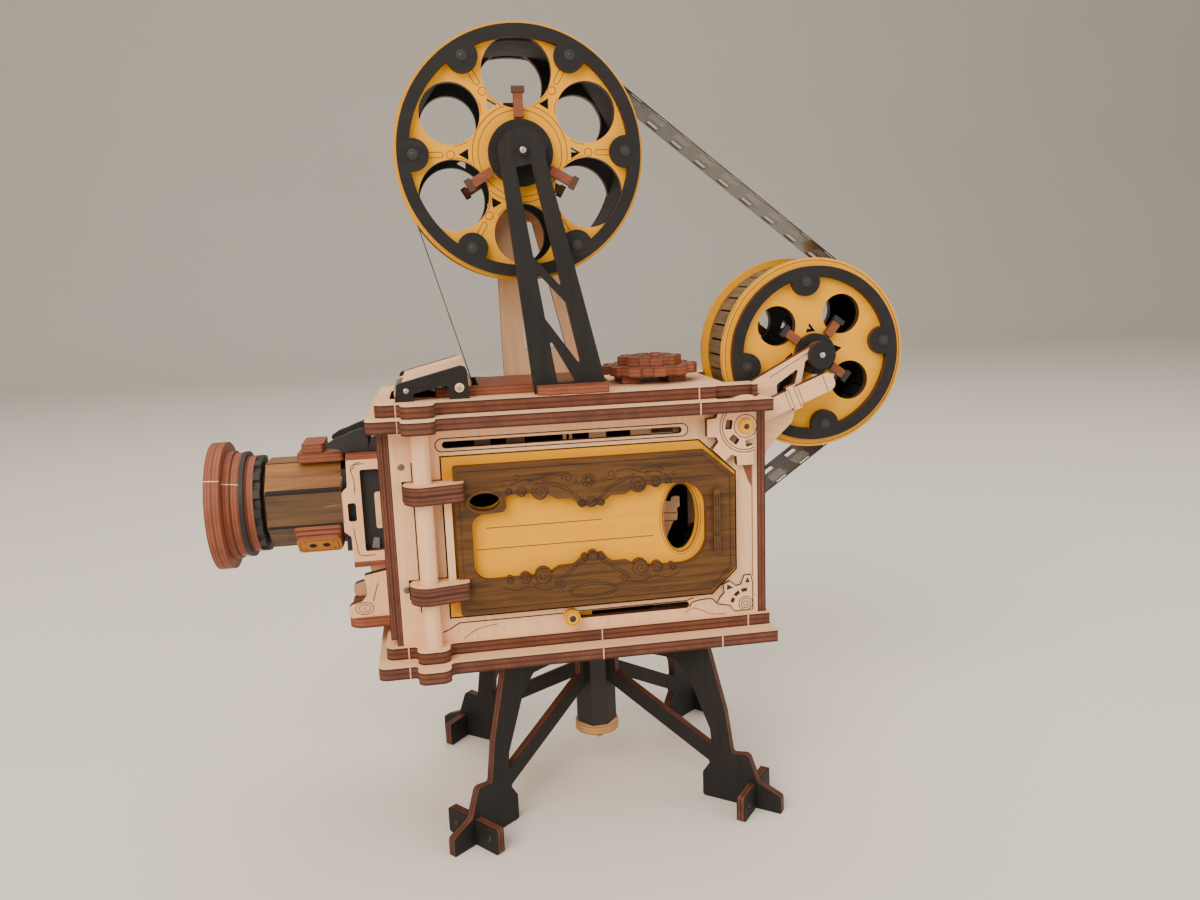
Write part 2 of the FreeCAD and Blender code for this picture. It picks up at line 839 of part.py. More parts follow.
def guide_roller():
    """Roller between the guide's sides."""
    drum = pin(guide_x, guide_z, guide_radius, -film_width / 2 - 0.5, film_width / 2 + 0.5)
    return drum.fuse(pin(guide_x, guide_z, shaft_radius, -guide_face, guide_face))


def lower_roller():
    """Roller behind the front wall, between the mechanism plates."""
    edge = inner_plate + ply
    drum = pin(lower_x, lower_z, lower_radius, -film_width / 2 - 0.5, film_width / 2 + 0.5)
    return drum.fuse(pin(lower_x, lower_z, shaft_radius, -edge, edge))


# Film


def film_loop_wire(offset):
    """Closed belt of tangent lines and arcs round everything that carries the film."""
    middle = film_gap + film_thickness / 2
    stops = [
        (top_x, top_z, top_drum + middle, 1),
        (guide_x, guide_z, guide_radius + middle, -1),
        (turn_x, turn_z, turn_radius + film_thickness / 2, 1),
        (lower_x, lower_z, lower_radius + middle, 1),
        (sprocket_x, sprocket_z, sprocket_radius + middle, 1),
        (rear_x, rear_z, rear_drum + middle, 1),
    ]
    runs = []
    for number, (x, z, radius, turn) in enumerate(stops):
        next_x, next_z, next_radius, next_turn = stops[(number + 1) % len(stops)]
        out_radius = radius + offset * turn
        in_radius = next_radius + offset * next_turn
        apart = Vector(next_x - x, next_z - z, 0)
        step = (next_turn * in_radius - turn * out_radius) / apart.Length
        heading = math.atan2(apart.y, apart.x) - math.asin(step)
        left = Vector(-math.sin(heading), math.cos(heading), 0)
        runs.append((
            Vector(x, z, 0) - left * (turn * out_radius),
            Vector(next_x, next_z, 0) - left * (next_turn * in_radius),
            heading,
        ))
    edges = []
    for number, (x, z, radius, turn) in enumerate(stops):
        arrive = runs[number - 1]
        leave = runs[number]
        swing = (leave[2] - arrive[2]) * turn % (2 * math.pi) * turn
        heading = arrive[2] + swing / 2
        left = Vector(-math.sin(heading), math.cos(heading), 0)
        middle_point = Vector(x, z, 0) - left * (turn * (radius + offset * turn))
        edges.append(Part.Arc(arrive[1], middle_point, leave[0]).toShape())
        edges.append(Part.LineSegment(leave[0], leave[1]).toShape())
    return Part.Wire(edges)


def film_loop():
    """The endless film."""
    outer = film_loop_wire(film_thickness / 2)
    inner = film_loop_wire(-film_thickness / 2)
    return plate("front", outer, -film_width / 2, film_width / 2, [inner])


# Gears


def gear_wire(x, z, teeth, tooth_angle):
    """Gear outline with straight-sided teeth, one of them at a given angle in degrees."""
    pitch_radius = module * teeth / 2
    half_tooth = (math.pi * module / 2 - backlash) / 2
    slope = math.tan(math.radians(20))
    tip = pitch_radius + 0.7 * module
    root = pitch_radius - 0.95 * module
    tip_half = math.degrees((half_tooth - 0.7 * module * slope) / tip)
    root_half = math.degrees((half_tooth + 0.95 * module * slope) / root)
    points = []
    for tooth in range(teeth):
        angle = tooth_angle + tooth * 360 / teeth
        points.append(polar(x, z, root, angle - root_half))
        points.append(polar(x, z, tip, angle - tip_half))
        points.append(polar(x, z, tip, angle + tip_half))
        points.append(polar(x, z, root, angle + root_half))
    return outline(points)


def pitch(teeth):
    """Pitch radius."""
    return module * teeth / 2


def idler_centre():
    """Where the idler meshes with the crank gear."""
    apart = pitch(crank_teeth) + pitch(idler_teeth)
    return polar(crank_x, crank_z, apart, crank_to_idler)


def shutter_centre():
    """Where the shutter's pinion meshes with the idler."""
    apart = pitch(idler_teeth) + pitch(shutter_teeth)
    return polar(*idler_centre(), apart, idler_to_shutter)


def direction(start, end):
    """Angle in degrees from one centre to another."""
    return math.degrees(math.atan2(end[1] - start[1], end[0] - start[0]))


def idler_tooth_angle():
    """The idler's teeth stand in the crank gear's gaps."""
    return crank_to_idler + 180 + 180 / idler_teeth


def crank_gear():
    """Stepped gear: one layer drives the sprocket, the other the idler."""
    centre = (crank_x, crank_z)
    to_sprocket = direction(centre, (sprocket_x, sprocket_z))
    hole = circle(*centre, shaft_radius)
    inner = gear_wire(*centre, crank_teeth, to_sprocket)
    outer = gear_wire(*centre, crank_teeth, crank_to_idler)
    collar = plate("front", circle(*centre, 5), gear_in + ply, gear_out, [hole])
    return (
        plate("front", inner, gear_in, gear_in + ply, [hole]),
        plate("front", outer, gear_out, gear_out + ply, [hole]),
        collar,
    )


def sprocket_gear():
    """Pinion on the film sprocket's shaft."""
    centre = (sprocket_x, sprocket_z)
    angle = direction(centre, (crank_x, crank_z)) + 180 / sprocket_teeth
    wire = gear_wire(*centre, sprocket_teeth, angle)
    return plate("front", wire, gear_in, gear_in + ply, [circle(*centre, shaft_radius)])


def film_sprocket():
    """Drum that carries the film along, on its shaft."""
    half = film_width / 2 + film_gap
    centre = (sprocket_x, sprocket_z)
    drum = pin(*centre, sprocket_radius, -half, half)
    shaft = pin(*centre, shaft_radius, -inner_plate - ply, -near_face)
    return drum.fuse(shaft).removeSplitter()


def idler_gear():
    """Large gear that also turns the music cylinder, on its shaft."""
    centre = idler_centre()
    wire = gear_wire(*centre, idler_teeth, idler_tooth_angle())
    holes = []
    for turn in range(0, 360, 60):
        spot = polar(*centre, 14.5, turn)
        holes.append(circle(*spot, 4.6))
    wheel = plate("front", wire, gear_out, gear_out + ply, holes)
    shaft = pin(*centre, shaft_radius, -inner_plate - ply, -near_face)
    return wheel.fuse(shaft).removeSplitter()


def shutter_wheel():
    """Smooth wheel that stands up through the top plates, with its pinion and shaft."""
    centre = shutter_centre()
    step = 360 / idler_teeth
    lead = (idler_tooth_angle() - idler_to_shutter) % step
    gap_angle = idler_to_shutter + 180 - lead * idler_teeth / shutter_teeth
    wire = gear_wire(*centre, shutter_teeth, gap_angle + 180 / shutter_teeth)
    hole = circle(*centre, 5.0)
    windows = []
    for turn in (20, 140, 260):
        corners = [polar(*centre, 8, turn), polar(*centre, 16.5, turn),
                   polar(*centre, 19, turn + 35), polar(*centre, 16.5, turn + 70),
                   polar(*centre, 8, turn + 70)]
        windows.append(outline([corner + (1,) for corner in corners]))
    rim = circle(*centre, shutter_radius)
    wheel = plate("front", rim, gear_in, gear_in + ply, windows)
    collar = plate("front", hole, gear_in + ply, gear_out)
    pinion = plate("front", wire, gear_out, gear_out + ply)
    shaft = pin(*centre, shaft_radius, inner_plate, -near_face)
    return wheel.fuse([collar, pinion, shaft]).removeSplitter()


def crank_arm():
    """Shaft, arm and the pin that the knob spins on."""
    end = crank_plane + ply
    arm = outline([
        (crank_x - 4.5, crank_z, 0), (crank_x - 3.2, crank_z - crank_throw, 0),
        (crank_x + 3.2, crank_z - crank_throw, 0), (crank_x + 4.5, crank_z, 0),
    ])
    shape = plate("front", arm, crank_plane, end)
    shape = shape.fuse([
        pin(crank_x, crank_z, 6.0, crank_plane, end),
        pin(crank_x, crank_z - crank_throw, 4.2, crank_plane, end),
        pin(crank_x, crank_z, shaft_radius, inner_plate, end),
        pin(crank_x, crank_z - crank_throw, knob_pin, end, end + knob_length + 0.8),
    ])
    return shape.removeSplitter()


def crank_knob():
    """Turned knob, free to spin on the crank's pin."""
    low = crank_plane + ply + slide_clearance
    length = knob_length - slide_clearance
    widest = length * 0.68
    waist = Vector(knob_radius, 0, widest)
    bore = knob_pin + shaft_clearance
    edges = [
        Part.Arc(Vector(3.4, 0, 0), Vector(3.7, 0, length * 0.3), waist).toShape(),
        Part.Arc(waist, Vector(4.3, 0, length * 0.86), Vector(3.6, 0, length)).toShape(),
        Part.LineSegment(Vector(3.6, 0, length), Vector(bore, 0, length)).toShape(),
        Part.LineSegment(Vector(bore, 0, length), Vector(bore, 0, 0)).toShape(),
        Part.LineSegment(Vector(bore, 0, 0), Vector(3.4, 0, 0)).toShape(),
    ]
    knob = Part.Face(Part.Wire(edges)).revolve(Vector(0, 0, 0), Vector(0, 0, 1), 360)
    knob.rotate(Vector(0, 0, 0), Vector(1, 0, 0), -90)
    knob.translate(Vector(crank_x, low, crank_z - crank_throw))
    return knob


# Inside


def mechanism_plates():
    """Two inner plates that carry the shafts."""
    sprocket = circle(sprocket_x, sprocket_z, bore_radius)
    idler = circle(*idler_centre(), bore_radius)
    lower = circle(lower_x, lower_z, bore_radius)
    slope = (case_floor + 30, case_floor + 46, case_floor + 52, case_floor + 58)
    near_rim = outline([
        (front_in, case_floor), (27, case_floor, 2), (27, slope[0], 3), (24.5, slope[1], 2),
        (-16, slope[2], 3), (-46, slope[3], 3), (front_in, slope[3]),
    ])
    window = box(-38, case_floor + 6, -4, case_floor + 32, 4)
    near = plate(
        "front", near_rim, -inner_plate - ply, -inner_plate,
        [sprocket, idler, lower, window],
    )
    far_rim = outline([
        (front_in, case_floor), (47, case_floor, 2), (47, case_floor + 42, 4),
        (20, case_roof, 2),
        (front_in, case_roof),
    ])
    far_holes = [
        sprocket, idler, lower, window,
        circle(crank_x, crank_z, bore_radius),
        circle(*shutter_centre(), bore_radius),
    ]
    far = plate("front", far_rim, inner_plate, inner_plate + ply, far_holes)
    return near, far


def lamp_board():
    """Board across the mechanism plates with the lamp facing the film."""
    board = block((-45.6, -inner_plate, lens_z - 8), (-44.0, inner_plate, lens_z + 8))
    lamp = barrel(2.5, -50.0, -45.6)
    cap = Part.makeSphere(2.5, Vector(-50.0, 0, lens_z))
    return board.fuse([lamp, cap]).removeSplitter()


def battery_holder():
    """Coin cell holder on the floor under the film."""
    holder = block((33.0, -11.2, case_floor), (59.0, 11.2, case_floor + 6))
    recess = Part.makeCylinder(10.2, 4, Vector(46, 0, case_floor + 2))
    return holder.cut(recess)


def music_cylinder():
    """Cylinder on the idler's shaft, with rows of pins that pluck the comb."""
    x, z = idler_centre()
    half = cylinder_length / 2
    hole = circle(x, z, shaft_radius)
    drum = plate("front", circle(x, z, cylinder_radius), -half, half, [hole])
    spacing = (cylinder_length - 3) / (comb_teeth - 1)
    for note in range(comb_teeth):
        angle = math.radians(50 + note * 145)
        stud = block(
            (cylinder_radius - 0.3, -pin_size / 2, -pin_size / 2),
            (cylinder_radius + pin_size, pin_size / 2, pin_size / 2),
        )
        stud.rotate(Vector(0, 0, 0), Vector(0, 1, 0), -math.degrees(angle))
        stud.translate(Vector(x, -half + 1.5 + note * spacing, z))
        drum = drum.fuse(stud)
    return drum


def music_comb():
    """Steel comb on its bed, between the mechanism plates."""
    x, z = idler_centre()
    tips = x + cylinder_radius + pin_size + comb_gap
    half = cylinder_length / 2
    root = tips + 9
    comb = block((tips, -half, z), (root + 6, half, z + comb_thickness))
    spacing = (cylinder_length - 3) / (comb_teeth - 1)
    slits = [
        block((tips, y - 0.2, z), (root, y + 0.2, z + comb_thickness))
        for y in (-half + 1.5 + (note + 0.5) * spacing for note in range(comb_teeth - 1))
    ]
    comb = comb.cut(Part.makeCompound(slits))
    bed = block((root, -inner_plate, z - 4), (root + 6, inner_plate, z))
    return comb, bed


# Lens


def octagon(radius):
    """Outline of the slatted barrel."""
    return outline([polar(0, lens_z, radius, 22.5 + 45 * side) for side in range(8)])


def lens_barrel():
    """Eight slats round the focusing tube."""
    bore = circle(0, lens_z, barrel_bore)
    return plate("side", octagon(barrel_radius), barrel_rear, barrel_front, [bore])


def on_slat(layer, rim, turn, holes=()):
    """Slip of sheet laid on a slat: which layer it is, its outline and the slat's angle."""
    low = lens_z + barrel_flat + layer * slip_ply
    slip = plate("flat", rim, low, low + slip_ply, holes)
    slip.rotate(Vector(0, 0, lens_z), Vector(1, 0, 0), turn)
    return slip


def barrel_plates():
    """Stepped plates on the barrel, slips on its lower slats and the boots under the gate."""
    low = lens_z + barrel_flat
    first = plate("flat", box(-91.7, -9, -76.4, 9, 1.5), low, low + ply)
    second = plate("flat", box(-90.2, -8, -83.0, 8, 1.2), low + ply, low + 2 * ply)
    slips = [
        on_slat(layer, box(-94.1 + layer * 0.4, -half, -78.7 - layer * 0.2, half, 1), turn)
        for turn in (135, -135) for layer, half in ((0, 5.6), (1, 4.9))
    ]
    wall = front_face
    sole_low = case_floor + 2.9
    sole_high = sole_low + 3.5
    sole = plate("flat", outline([
        (wall, -14.5), (-78.9, -14.5, 5), (-78.9, 14.5, 5), (wall, 14.5),
    ]), sole_low, sole_high)
    boot_rim = outline([
        (wall, sole_high), (wall, sole_high + 16.2), (-72.9, sole_high + 14.7, 0.5),
        (-72.1, sole_high + 8.1, 3), (-74.2, sole_high + 5.6, 1.5),
        (-78.9, sole_high + 4.5, 2.2), (-78.9, sole_high, 1.8),
    ])
    boots = [plate("front", boot_rim, low_y, low_y + ply) for low_y in (-13.5, 10.5)]
    return [first, second, *slips, sole, *boots]


def focus_tabs():
    """Two ears on the barrel's lower slats, each with a pair of holes."""
    middle = (-93.4 - 79.2) / 2
    holes = [circle(middle + side * 2.2, 0, 0.9) for side in (-1, 1)]
    rim = box(-93.4, -ear_half, -79.2, ear_half, 1.6)
    return [on_slat(2, rim, turn, holes) for turn in (135, -135)]


def gate_frames():
    """Side frames between the front wall and the barrel, their boards and the light block."""
    wall = front_face
    rim = outline([
        (wall, gate_low), (wall, gate_high), (gate_front, gate_high, 0.6),
        (gate_front - 0.3, lens_z + 6.2, 0.8), (barrel_rear, lens_z + 4.4, 0.8),
        (barrel_rear, lens_z - 9.0, 0.8), (gate_front - 0.2, lens_z - 10.8, 0.8),
        (gate_front, gate_low, 0.6),
    ])
    window = box(-71.5, lens_z - 16.2, wall - 0.6, lens_z + 11.8, 0.8)
    latch_hole = box(-76.2, lens_z - 5.6, -73.5, lens_z + 0.7, 0.8)
    near = plate("front", rim, -gate_half, ply - gate_half, [window, latch_hole])
    boards = [
        block((gate_front, -gate_half, low), (wall, gate_half, low + gate_board))
        for low in (gate_low - gate_board, gate_high)
    ]
    light = circle(0, lens_z, lens_axis_hole)
    inside = gate_half - ply
    core = plate(
        "side", box(-inside, lens_z - 11, inside, lens_z + 11, 2), barrel_rear, wall, [light]
    )
    return [near, mirrored(near), core, *boards]


def lens_rings():
    """Front rings on the focusing tube."""
    body = barrel(lens_tube, grip_front, tube_rear)
    high = grip_front
    for length, radius in ring_steps:
        body = body.fuse(barrel(radius, high - length, high))
        high -= length
    seat = barrel(glass_radius, lens_front, lens_front + ply)
    tunnel = barrel(lens_axis_hole, lens_front, tube_rear)
    return body.cut(tunnel).cut(seat).removeSplitter()


def lens_toothed_disc():
    """Black toothed grip disc behind the rings, and the plain black disc between them."""
    points = []
    teeth = 16
    for tooth in range(teeth):
        for share, radius in ((-0.3, 15.4), (-0.22, 16.4), (0.22, 16.4), (0.3, 15.4)):
            points.append(polar(0, lens_z, radius, (tooth + share) * 360 / teeth))
    hole = circle(0, lens_z, lens_tube)
    grip = plate("side", outline(points), grip_front, grip_rear, [hole])
    stop_rear = grip_front - ring_steps[0][0]
    stop_front = stop_rear - ring_steps[1][0]
    stop = plate("side", circle(0, lens_z, stop_disc_radius), stop_front, stop_rear, [hole])
    return grip, stop


def lens_glass():
    """Biconvex lens in the front ring."""
    middle = lens_front + 1.9
    ball = 44.0
    bulge = ball - math.sqrt(ball ** 2 - glass_radius ** 2) + 0.4
    front = Part.makeSphere(ball, Vector(middle + ball - bulge, 0, lens_z))
    back = Part.makeSphere(ball, Vector(middle - ball + bulge, 0, lens_z))
    disc = barrel(glass_radius, lens_front, lens_front + ply)
    return front.common(back).common(disc)


# Reels


def reel_flange(x, z, radius, hole_ring, hole_sizes, first_hole, notch_ring):
    """Spoked flange with round holes and a small triangle between each two of them."""
    holes = [circle(x, z, shaft_radius)]
    step = 360 / len(hole_sizes)
    for number, size in enumerate(hole_sizes):
        angle = first_hole + number * step
        holes.append(circle(*polar(x, z, hole_ring, angle), size))
        spot = polar(x, z, notch_ring, angle + step / 2)
        corners = [polar(*spot, 2.1, angle + step / 2 + turn) for turn in (0, 120, 240)]
        holes.append(outline(corners))
    near = plate("front", circle(x, z, radius), -ring_in, -flange_in, holes)
    return near, mirrored(near)


def reel_ring(x, z, radius, width, lobes, first_lobe, lobe_ring, lobe_radius):
    """Black rim ring with round lobes that reach inwards."""
    low, high = -ring_in - ring_ply, -ring_in
    ring = plate("front", circle(x, z, radius), low, high, [circle(x, z, radius - width)])
    for number in range(lobes):
        spot = polar(x, z, lobe_ring, first_lobe + number * 360 / lobes)
        ring = ring.fuse(pin(*spot, lobe_radius, low, high))
    ring = ring.common(pin(x, z, radius, low, high)).removeSplitter()
    return ring, mirrored(ring)


def reel_drum(x, z, radius, slits):
    """Core that the film runs on; its wall is slit so that the sheet could bend round."""
    wall = plate("front", circle(x, z, radius), -flange_in, flange_in,
                 [circle(x, z, radius - drum_wall)])
    cutter = block((radius - drum_wall - 1, -flange_in + 2.5, -0.35),
                   (radius + 1, flange_in - 2.5, 0.35))
    cuts = []
    for number in range(slits):
        cut = cutter.copy()
        cut.rotate(Vector(0, 0, 0), Vector(0, 1, 0), number * 360 / slits)
        cut.translate(Vector(x, 0, z))
        cuts.append(cut)
    if cuts:
        wall = wall.cut(Part.makeCompound(cuts))
    return wall


def reel_hub(x, z, face, radius, cap):
    """Axle with a disc outside each flange and, if cap isn't zero, one outside each bracket."""
    end = face + 2.0
    axle = pin(x, z, shaft_radius, -end, end)
    low, high = ring_in, ring_in + ring_ply
    discs = [pin(x, z, radius, -high, -low), pin(x, z, radius, low, high)]
    if cap:
        gap = slide_clearance
        discs += [pin(x, z, cap, -end, -face - gap), pin(x, z, cap, face + gap, end)]
    return axle.fuse(discs).removeSplitter()


def reel_tabs(x, z, inner, outer, first, count):
    """Keys on each flange that lock the core."""
    keys = []
    for number in range(count):
        key = block((inner, ring_in, -ply / 2), (outer, ring_in + 2.2, ply / 2))
        key.rotate(Vector(0, 0, 0), Vector(0, 1, 0), -(first + number * 360 / count))
        key.translate(Vector(x, 0, z))
        keys.append(key)
    return keys + [mirrored(key) for key in keys]


def main():
    os.makedirs("parts", exist_ok=True)
    save("stand_hub", stand_hub())
    legs = {
        "leg_rear_far": leg_azimuth, "leg_front_far": 180 - leg_azimuth,
        "leg_front_near": 180 + leg_azimuth, "leg_rear_near": -leg_azimuth,
    }
    for name, azimuth in legs.items():
        save(name, *leg_plate(azimuth))

    save("swivel_post", swivel_post())
    save("base_plate_lower", base_plate_lower())
    save("base_plate_upper", base_plate_upper())
    save("near_wall", near_wall())
    save("far_wall", far_wall())
    save("front_wall", *front_wall())
    save("rear_wall", rear_wall())
    save("top_plate_lower", top_plate_lower())
    save("top_plate_upper", top_plate_upper())
    save("hinge_post", hinge_post())
    save("corner_gear", corner_gear())
    save("rear_lever", rear_lever())

    save("door_sheet", door_sheet())
    save("door_overlay", door_overlay())
    save("door_hinge_leaves", *door_hinge_leaves())
    save("latch_slider", latch_slider())

    save("reel_arm_near", reel_arm_near())
    save("reel_arm_far", reel_arm_far())
    bracket = rear_bracket()
    save("rear_brackets", mirrored(bracket), bracket)
    save("top_trim", *top_trim())
    save("cog_ornament", *cog_ornament())

    side = guide_side()
    save("guide_sides", mirrored(side), side)
    save("guide_cover", *guide_cover())
    save("guide_roller", guide_roller())
    save("lower_roller", lower_roller())
    save("film_loop", film_loop())

    save("crank_gear", *crank_gear())
    save("crank_arm", crank_arm())
    save("crank_knob", crank_knob())
    save("sprocket_gear", sprocket_gear())
    save("film_sprocket", film_sprocket())
    save("idler_gear", idler_gear())
    save("shutter_wheel", shutter_wheel())
    save("mechanism_plates", *mechanism_plates())
    save("lamp_board", lamp_board())
    save("battery_holder", battery_holder())
    save("music_cylinder", music_cylinder())
    save("music_comb", *music_comb())

    save("lens_barrel", lens_barrel())
    save("barrel_plates", *barrel_plates())
    save("focus_tabs", *focus_tabs())
    save("gate_frames", *gate_frames())
    save("lens_rings", lens_rings())
    save("lens_toothed_disc", *lens_toothed_disc())
    save("lens_glass", lens_glass())

    save("top_reel_flanges", *reel_flange(
        top_x, top_z, top_flange, 25.2, (11.2, 9.6) * 3, 90, 17.6))
    save("top_reel_rings", *reel_ring(
        top_x, top_z, top_ring, top_ring_width, 6, 0, 34.0, 5.0))
    save("top_reel_drum", reel_drum(top_x, top_z, top_drum, 0))
    save("top_reel_hub", reel_hub(top_x, top_z, arm_face, top_hub, 0))
    save("top_reel_tabs", *reel_tabs(top_x, top_z, top_hub + 0.5, 20.0, 90, 3))
    save("rear_reel_flanges", *reel_flange(
        rear_x, rear_z, rear_flange, 16.8, (6.9,) * 4, 53, 8.6))
    save("rear_reel_rings", *reel_ring(
        rear_x, rear_z, rear_ring, rear_ring_width, 4, 8, 25.2, 4.9))
    save("rear_reel_drum", reel_drum(rear_x, rear_z, rear_drum, 36))
    save("rear_reel_hub", reel_hub(rear_x, rear_z, bracket_face, rear_hub, rear_cap))
    save("rear_reel_tabs", *reel_tabs(rear_x, rear_z, rear_hub + 0.5, 14.5, 53, 4))


main()
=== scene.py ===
import math

import bmesh
import bpy
from mathutils import Matrix, Vector
from mathutils.geometry import tessellate_polygon


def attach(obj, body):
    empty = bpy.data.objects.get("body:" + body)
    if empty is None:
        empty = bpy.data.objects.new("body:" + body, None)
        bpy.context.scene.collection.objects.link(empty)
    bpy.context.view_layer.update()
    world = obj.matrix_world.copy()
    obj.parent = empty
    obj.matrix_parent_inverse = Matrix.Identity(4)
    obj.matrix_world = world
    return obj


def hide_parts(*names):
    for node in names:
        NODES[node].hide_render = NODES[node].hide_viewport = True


# Looks of a toy film projector of laser-cut plywood: finishes of the solids, engraving,
# fasteners, the film with its holes, and the light. Drawn lengths are millimetres in the
# model's own frame: +X to the rear, the door on the -Y side, +Z up.

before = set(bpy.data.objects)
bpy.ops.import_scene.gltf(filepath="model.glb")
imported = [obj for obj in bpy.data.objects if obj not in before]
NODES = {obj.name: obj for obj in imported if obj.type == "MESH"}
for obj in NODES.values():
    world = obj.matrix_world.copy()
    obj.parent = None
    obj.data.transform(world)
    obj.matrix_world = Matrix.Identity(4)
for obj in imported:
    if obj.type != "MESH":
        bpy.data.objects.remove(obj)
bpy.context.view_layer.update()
MM = 0.001
X, Y, Z = Vector((1, 0, 0)), Vector((0, 1, 0)), Vector((0, 0, 1))

# Levels of the faces that the details are drawn on
WALL = -27
OVERLAY = -30
FLANGE = 14.2
RING_FACE = 16.7
KEY_FACE = 16.4
ROOF = 146.5
# Centres of round parts, and how the legs are turned round the stand's axis
LEVER = (56.7, 132.9)
LATCH = (-4.4, 71)
TOP_REEL = (-12.9, 223.8)
REAR_REEL = (86.9, 154.5)
COG = (31, 0)
LENS_Z = 112
STAND_X = 7
LEGS = {
    "leg_rear_far": 39.5, "leg_front_far": 140.5, "leg_front_near": 219.5,
    "leg_rear_near": -39.5,
}
LINE_DEPTH = 0.06


def paint(*display):
    """Linear colour from display values of 0 to 255."""
    shares = [value / 255 for value in display]
    return (*(s / 12.92 if s <= 0.04045 else ((s + 0.055) / 1.055) ** 2.4 for s in shares), 1)


def placed(name, data):
    """A new object that stands in the scene."""
    thing = bpy.data.objects.new(name, data)
    bpy.context.scene.collection.objects.link(thing)
    return thing


# ---- finishes


class Finish:
    """One material's node tree, with short hands for the nodes that it uses."""

    def __init__(self, name, **sockets):
        self.material = bpy.data.materials.new(name)
        self.material.use_nodes = True
        self.nodes = self.material.node_tree.nodes
        self.links = self.material.node_tree.links
        self.shader = self.nodes["Principled BSDF"]
        for socket, value in sockets.items():
            self.shader.inputs[socket.replace("_", " ")].default_value = value
        coordinates = self.nodes.new("ShaderNodeTexCoord")
        self.place = coordinates.outputs["Object"]
        self.normal = coordinates.outputs["Normal"]

    def feed(self, socket, source):
        """Links a socket or sets its value; three display values stand for a colour."""
        if isinstance(source, bpy.types.NodeSocket):
            self.links.new(source, socket)
        elif isinstance(source, tuple) and len(source) == 3:
            socket.default_value = paint(*source)
        else:
            socket.default_value = source

    def maths(self, operation, first, second=0, third=0):
        node = self.nodes.new("ShaderNodeMath")
        node.operation = operation
        for socket, source in zip(node.inputs, (first, second, third)):
            self.feed(socket, source)
        return node.outputs[0]

    def along(self, vector, axis):
        """How far a vector reaches along an axis."""
        node = self.nodes.new("ShaderNodeVectorMath")
        node.operation = "DOT_PRODUCT"
        self.feed(node.inputs[0], vector)
        node.inputs[1].default_value = axis
        return node.outputs["Value"]

    def noise(self, waves, detail=3, rough=0.55, twist=0, shift=(0, 0, 0)):
        """Noise with that many waves a metre, the same or its own number along each axis."""
        scale = self.nodes.new("ShaderNodeMapping")
        scale.inputs["Location"].default_value = shift
        scale.inputs["Scale"].default_value = waves if isinstance(waves, tuple) else (waves,) * 3
        self.links.new(self.place, scale.inputs["Vector"])
        node = self.nodes.new("ShaderNodeTexNoise")
        for socket, value in (("Scale", 1), ("Detail", detail), ("Roughness", rough),
                              ("Distortion", twist)):
            node.inputs[socket].default_value = value
        self.links.new(scale.outputs["Vector"], node.inputs["Vector"])
        return node.outputs["Fac"]

    def ramp(self, value, *stops):
        """Colour band; each stop is a share and a colour, or a grey."""
        node = self.nodes.new("ShaderNodeValToRGB")
        band = node.color_ramp
        while len(band.elements) < len(stops):
            band.elements.new(0.5)
        for element, (share, colour) in zip(band.elements, stops):
            element.position = share
            grey = isinstance(colour, (int, float))
            element.color = (colour, colour, colour, 1) if grey else paint(*colour)
        self.feed(node.inputs["Fac"], value)
        return node.outputs["Color"]

    def mix(self, share, first, second):
        node = self.nodes.new("ShaderNodeMix")
        node.data_type = "RGBA"
        self.feed(node.inputs[0], share)
        self.feed(node.inputs[6], first)
        self.feed(node.inputs[7], second)
        return node.outputs[2]

    def spread(self, value, low, high):
        """Stretches 0 to 1 over another range."""
        return self.maths("MULTIPLY_ADD", value, high - low, low)

    def made(self, colour, wear, low, high, relief=None, distance=0, strength=1):
        """The material; wear moves its roughness from low to high, and relief is a bump."""
        self.feed(self.shader.inputs["Base Color"], colour)
        self.feed(self.shader.inputs["Roughness"], self.spread(wear, low, high))
        if relief is not None:
            node = self.nodes.new("ShaderNodeBump")
            node.inputs["Strength"].default_value = strength
            node.inputs["Distance"].default_value = distance
            self.feed(node.inputs["Height"], relief)
            self.links.new(node.outputs["Normal"], self.shader.inputs["Normal"])
        return self.material


# Colours are display values; FACES has a face, its darker grain, how much grain shows and
# the roughness, and an edge has the dark, pale and middle tone of its layers
FACES = {
    "birch": ((238, 192, 150), (206, 150, 108), 0.4, 0.58),
    "black": ((20, 18, 19), (38, 34, 33), 0.5, 0.62),
    "yellow": ((234, 166, 0), (214, 136, 0), 0.3, 0.6),
    "mustard": ((190, 122, 26), (150, 90, 20), 0.5, 0.55),
    "walnut": ((104, 68, 28), (50, 30, 14), 0.9, 0.58),
    "stained": ((138, 78, 52), (98, 50, 34), 0.6, 0.58),
}
BURNT = ((62, 32, 24), (112, 66, 46), (80, 42, 30))
YELLOW_EDGE = ((150, 96, 16), (250, 190, 20), (206, 142, 20))
PALE_EDGE = ((150, 100, 56), (206, 152, 94), (176, 124, 74))
BLACK_EDGE = ((34, 20, 16), (104, 58, 42), (58, 32, 24))
COPPER_EDGE = ((104, 56, 38), (146, 84, 58), (120, 66, 44))
WAYS = {"front": Y, "side": X, "flat": Z, "slat": Vector((0, 0.7071, -0.7071))}
GRAINS = {"x": (38, 620, 620), "z": (620, 620, 38)}


def reach(finish, vector, way, twin):
    """How far a vector reaches along a sheet's normal; a twin sheet is mirrored in y."""
    across = WAYS[way] if isinstance(way, str) else way
    if not twin:
        return finish.along(vector, across)
    sideways = finish.maths("ABSOLUTE", finish.along(vector, (0, across.y, 0)))
    return finish.maths("ADD", sideways, finish.along(vector, (across.x, 0, across.z)))


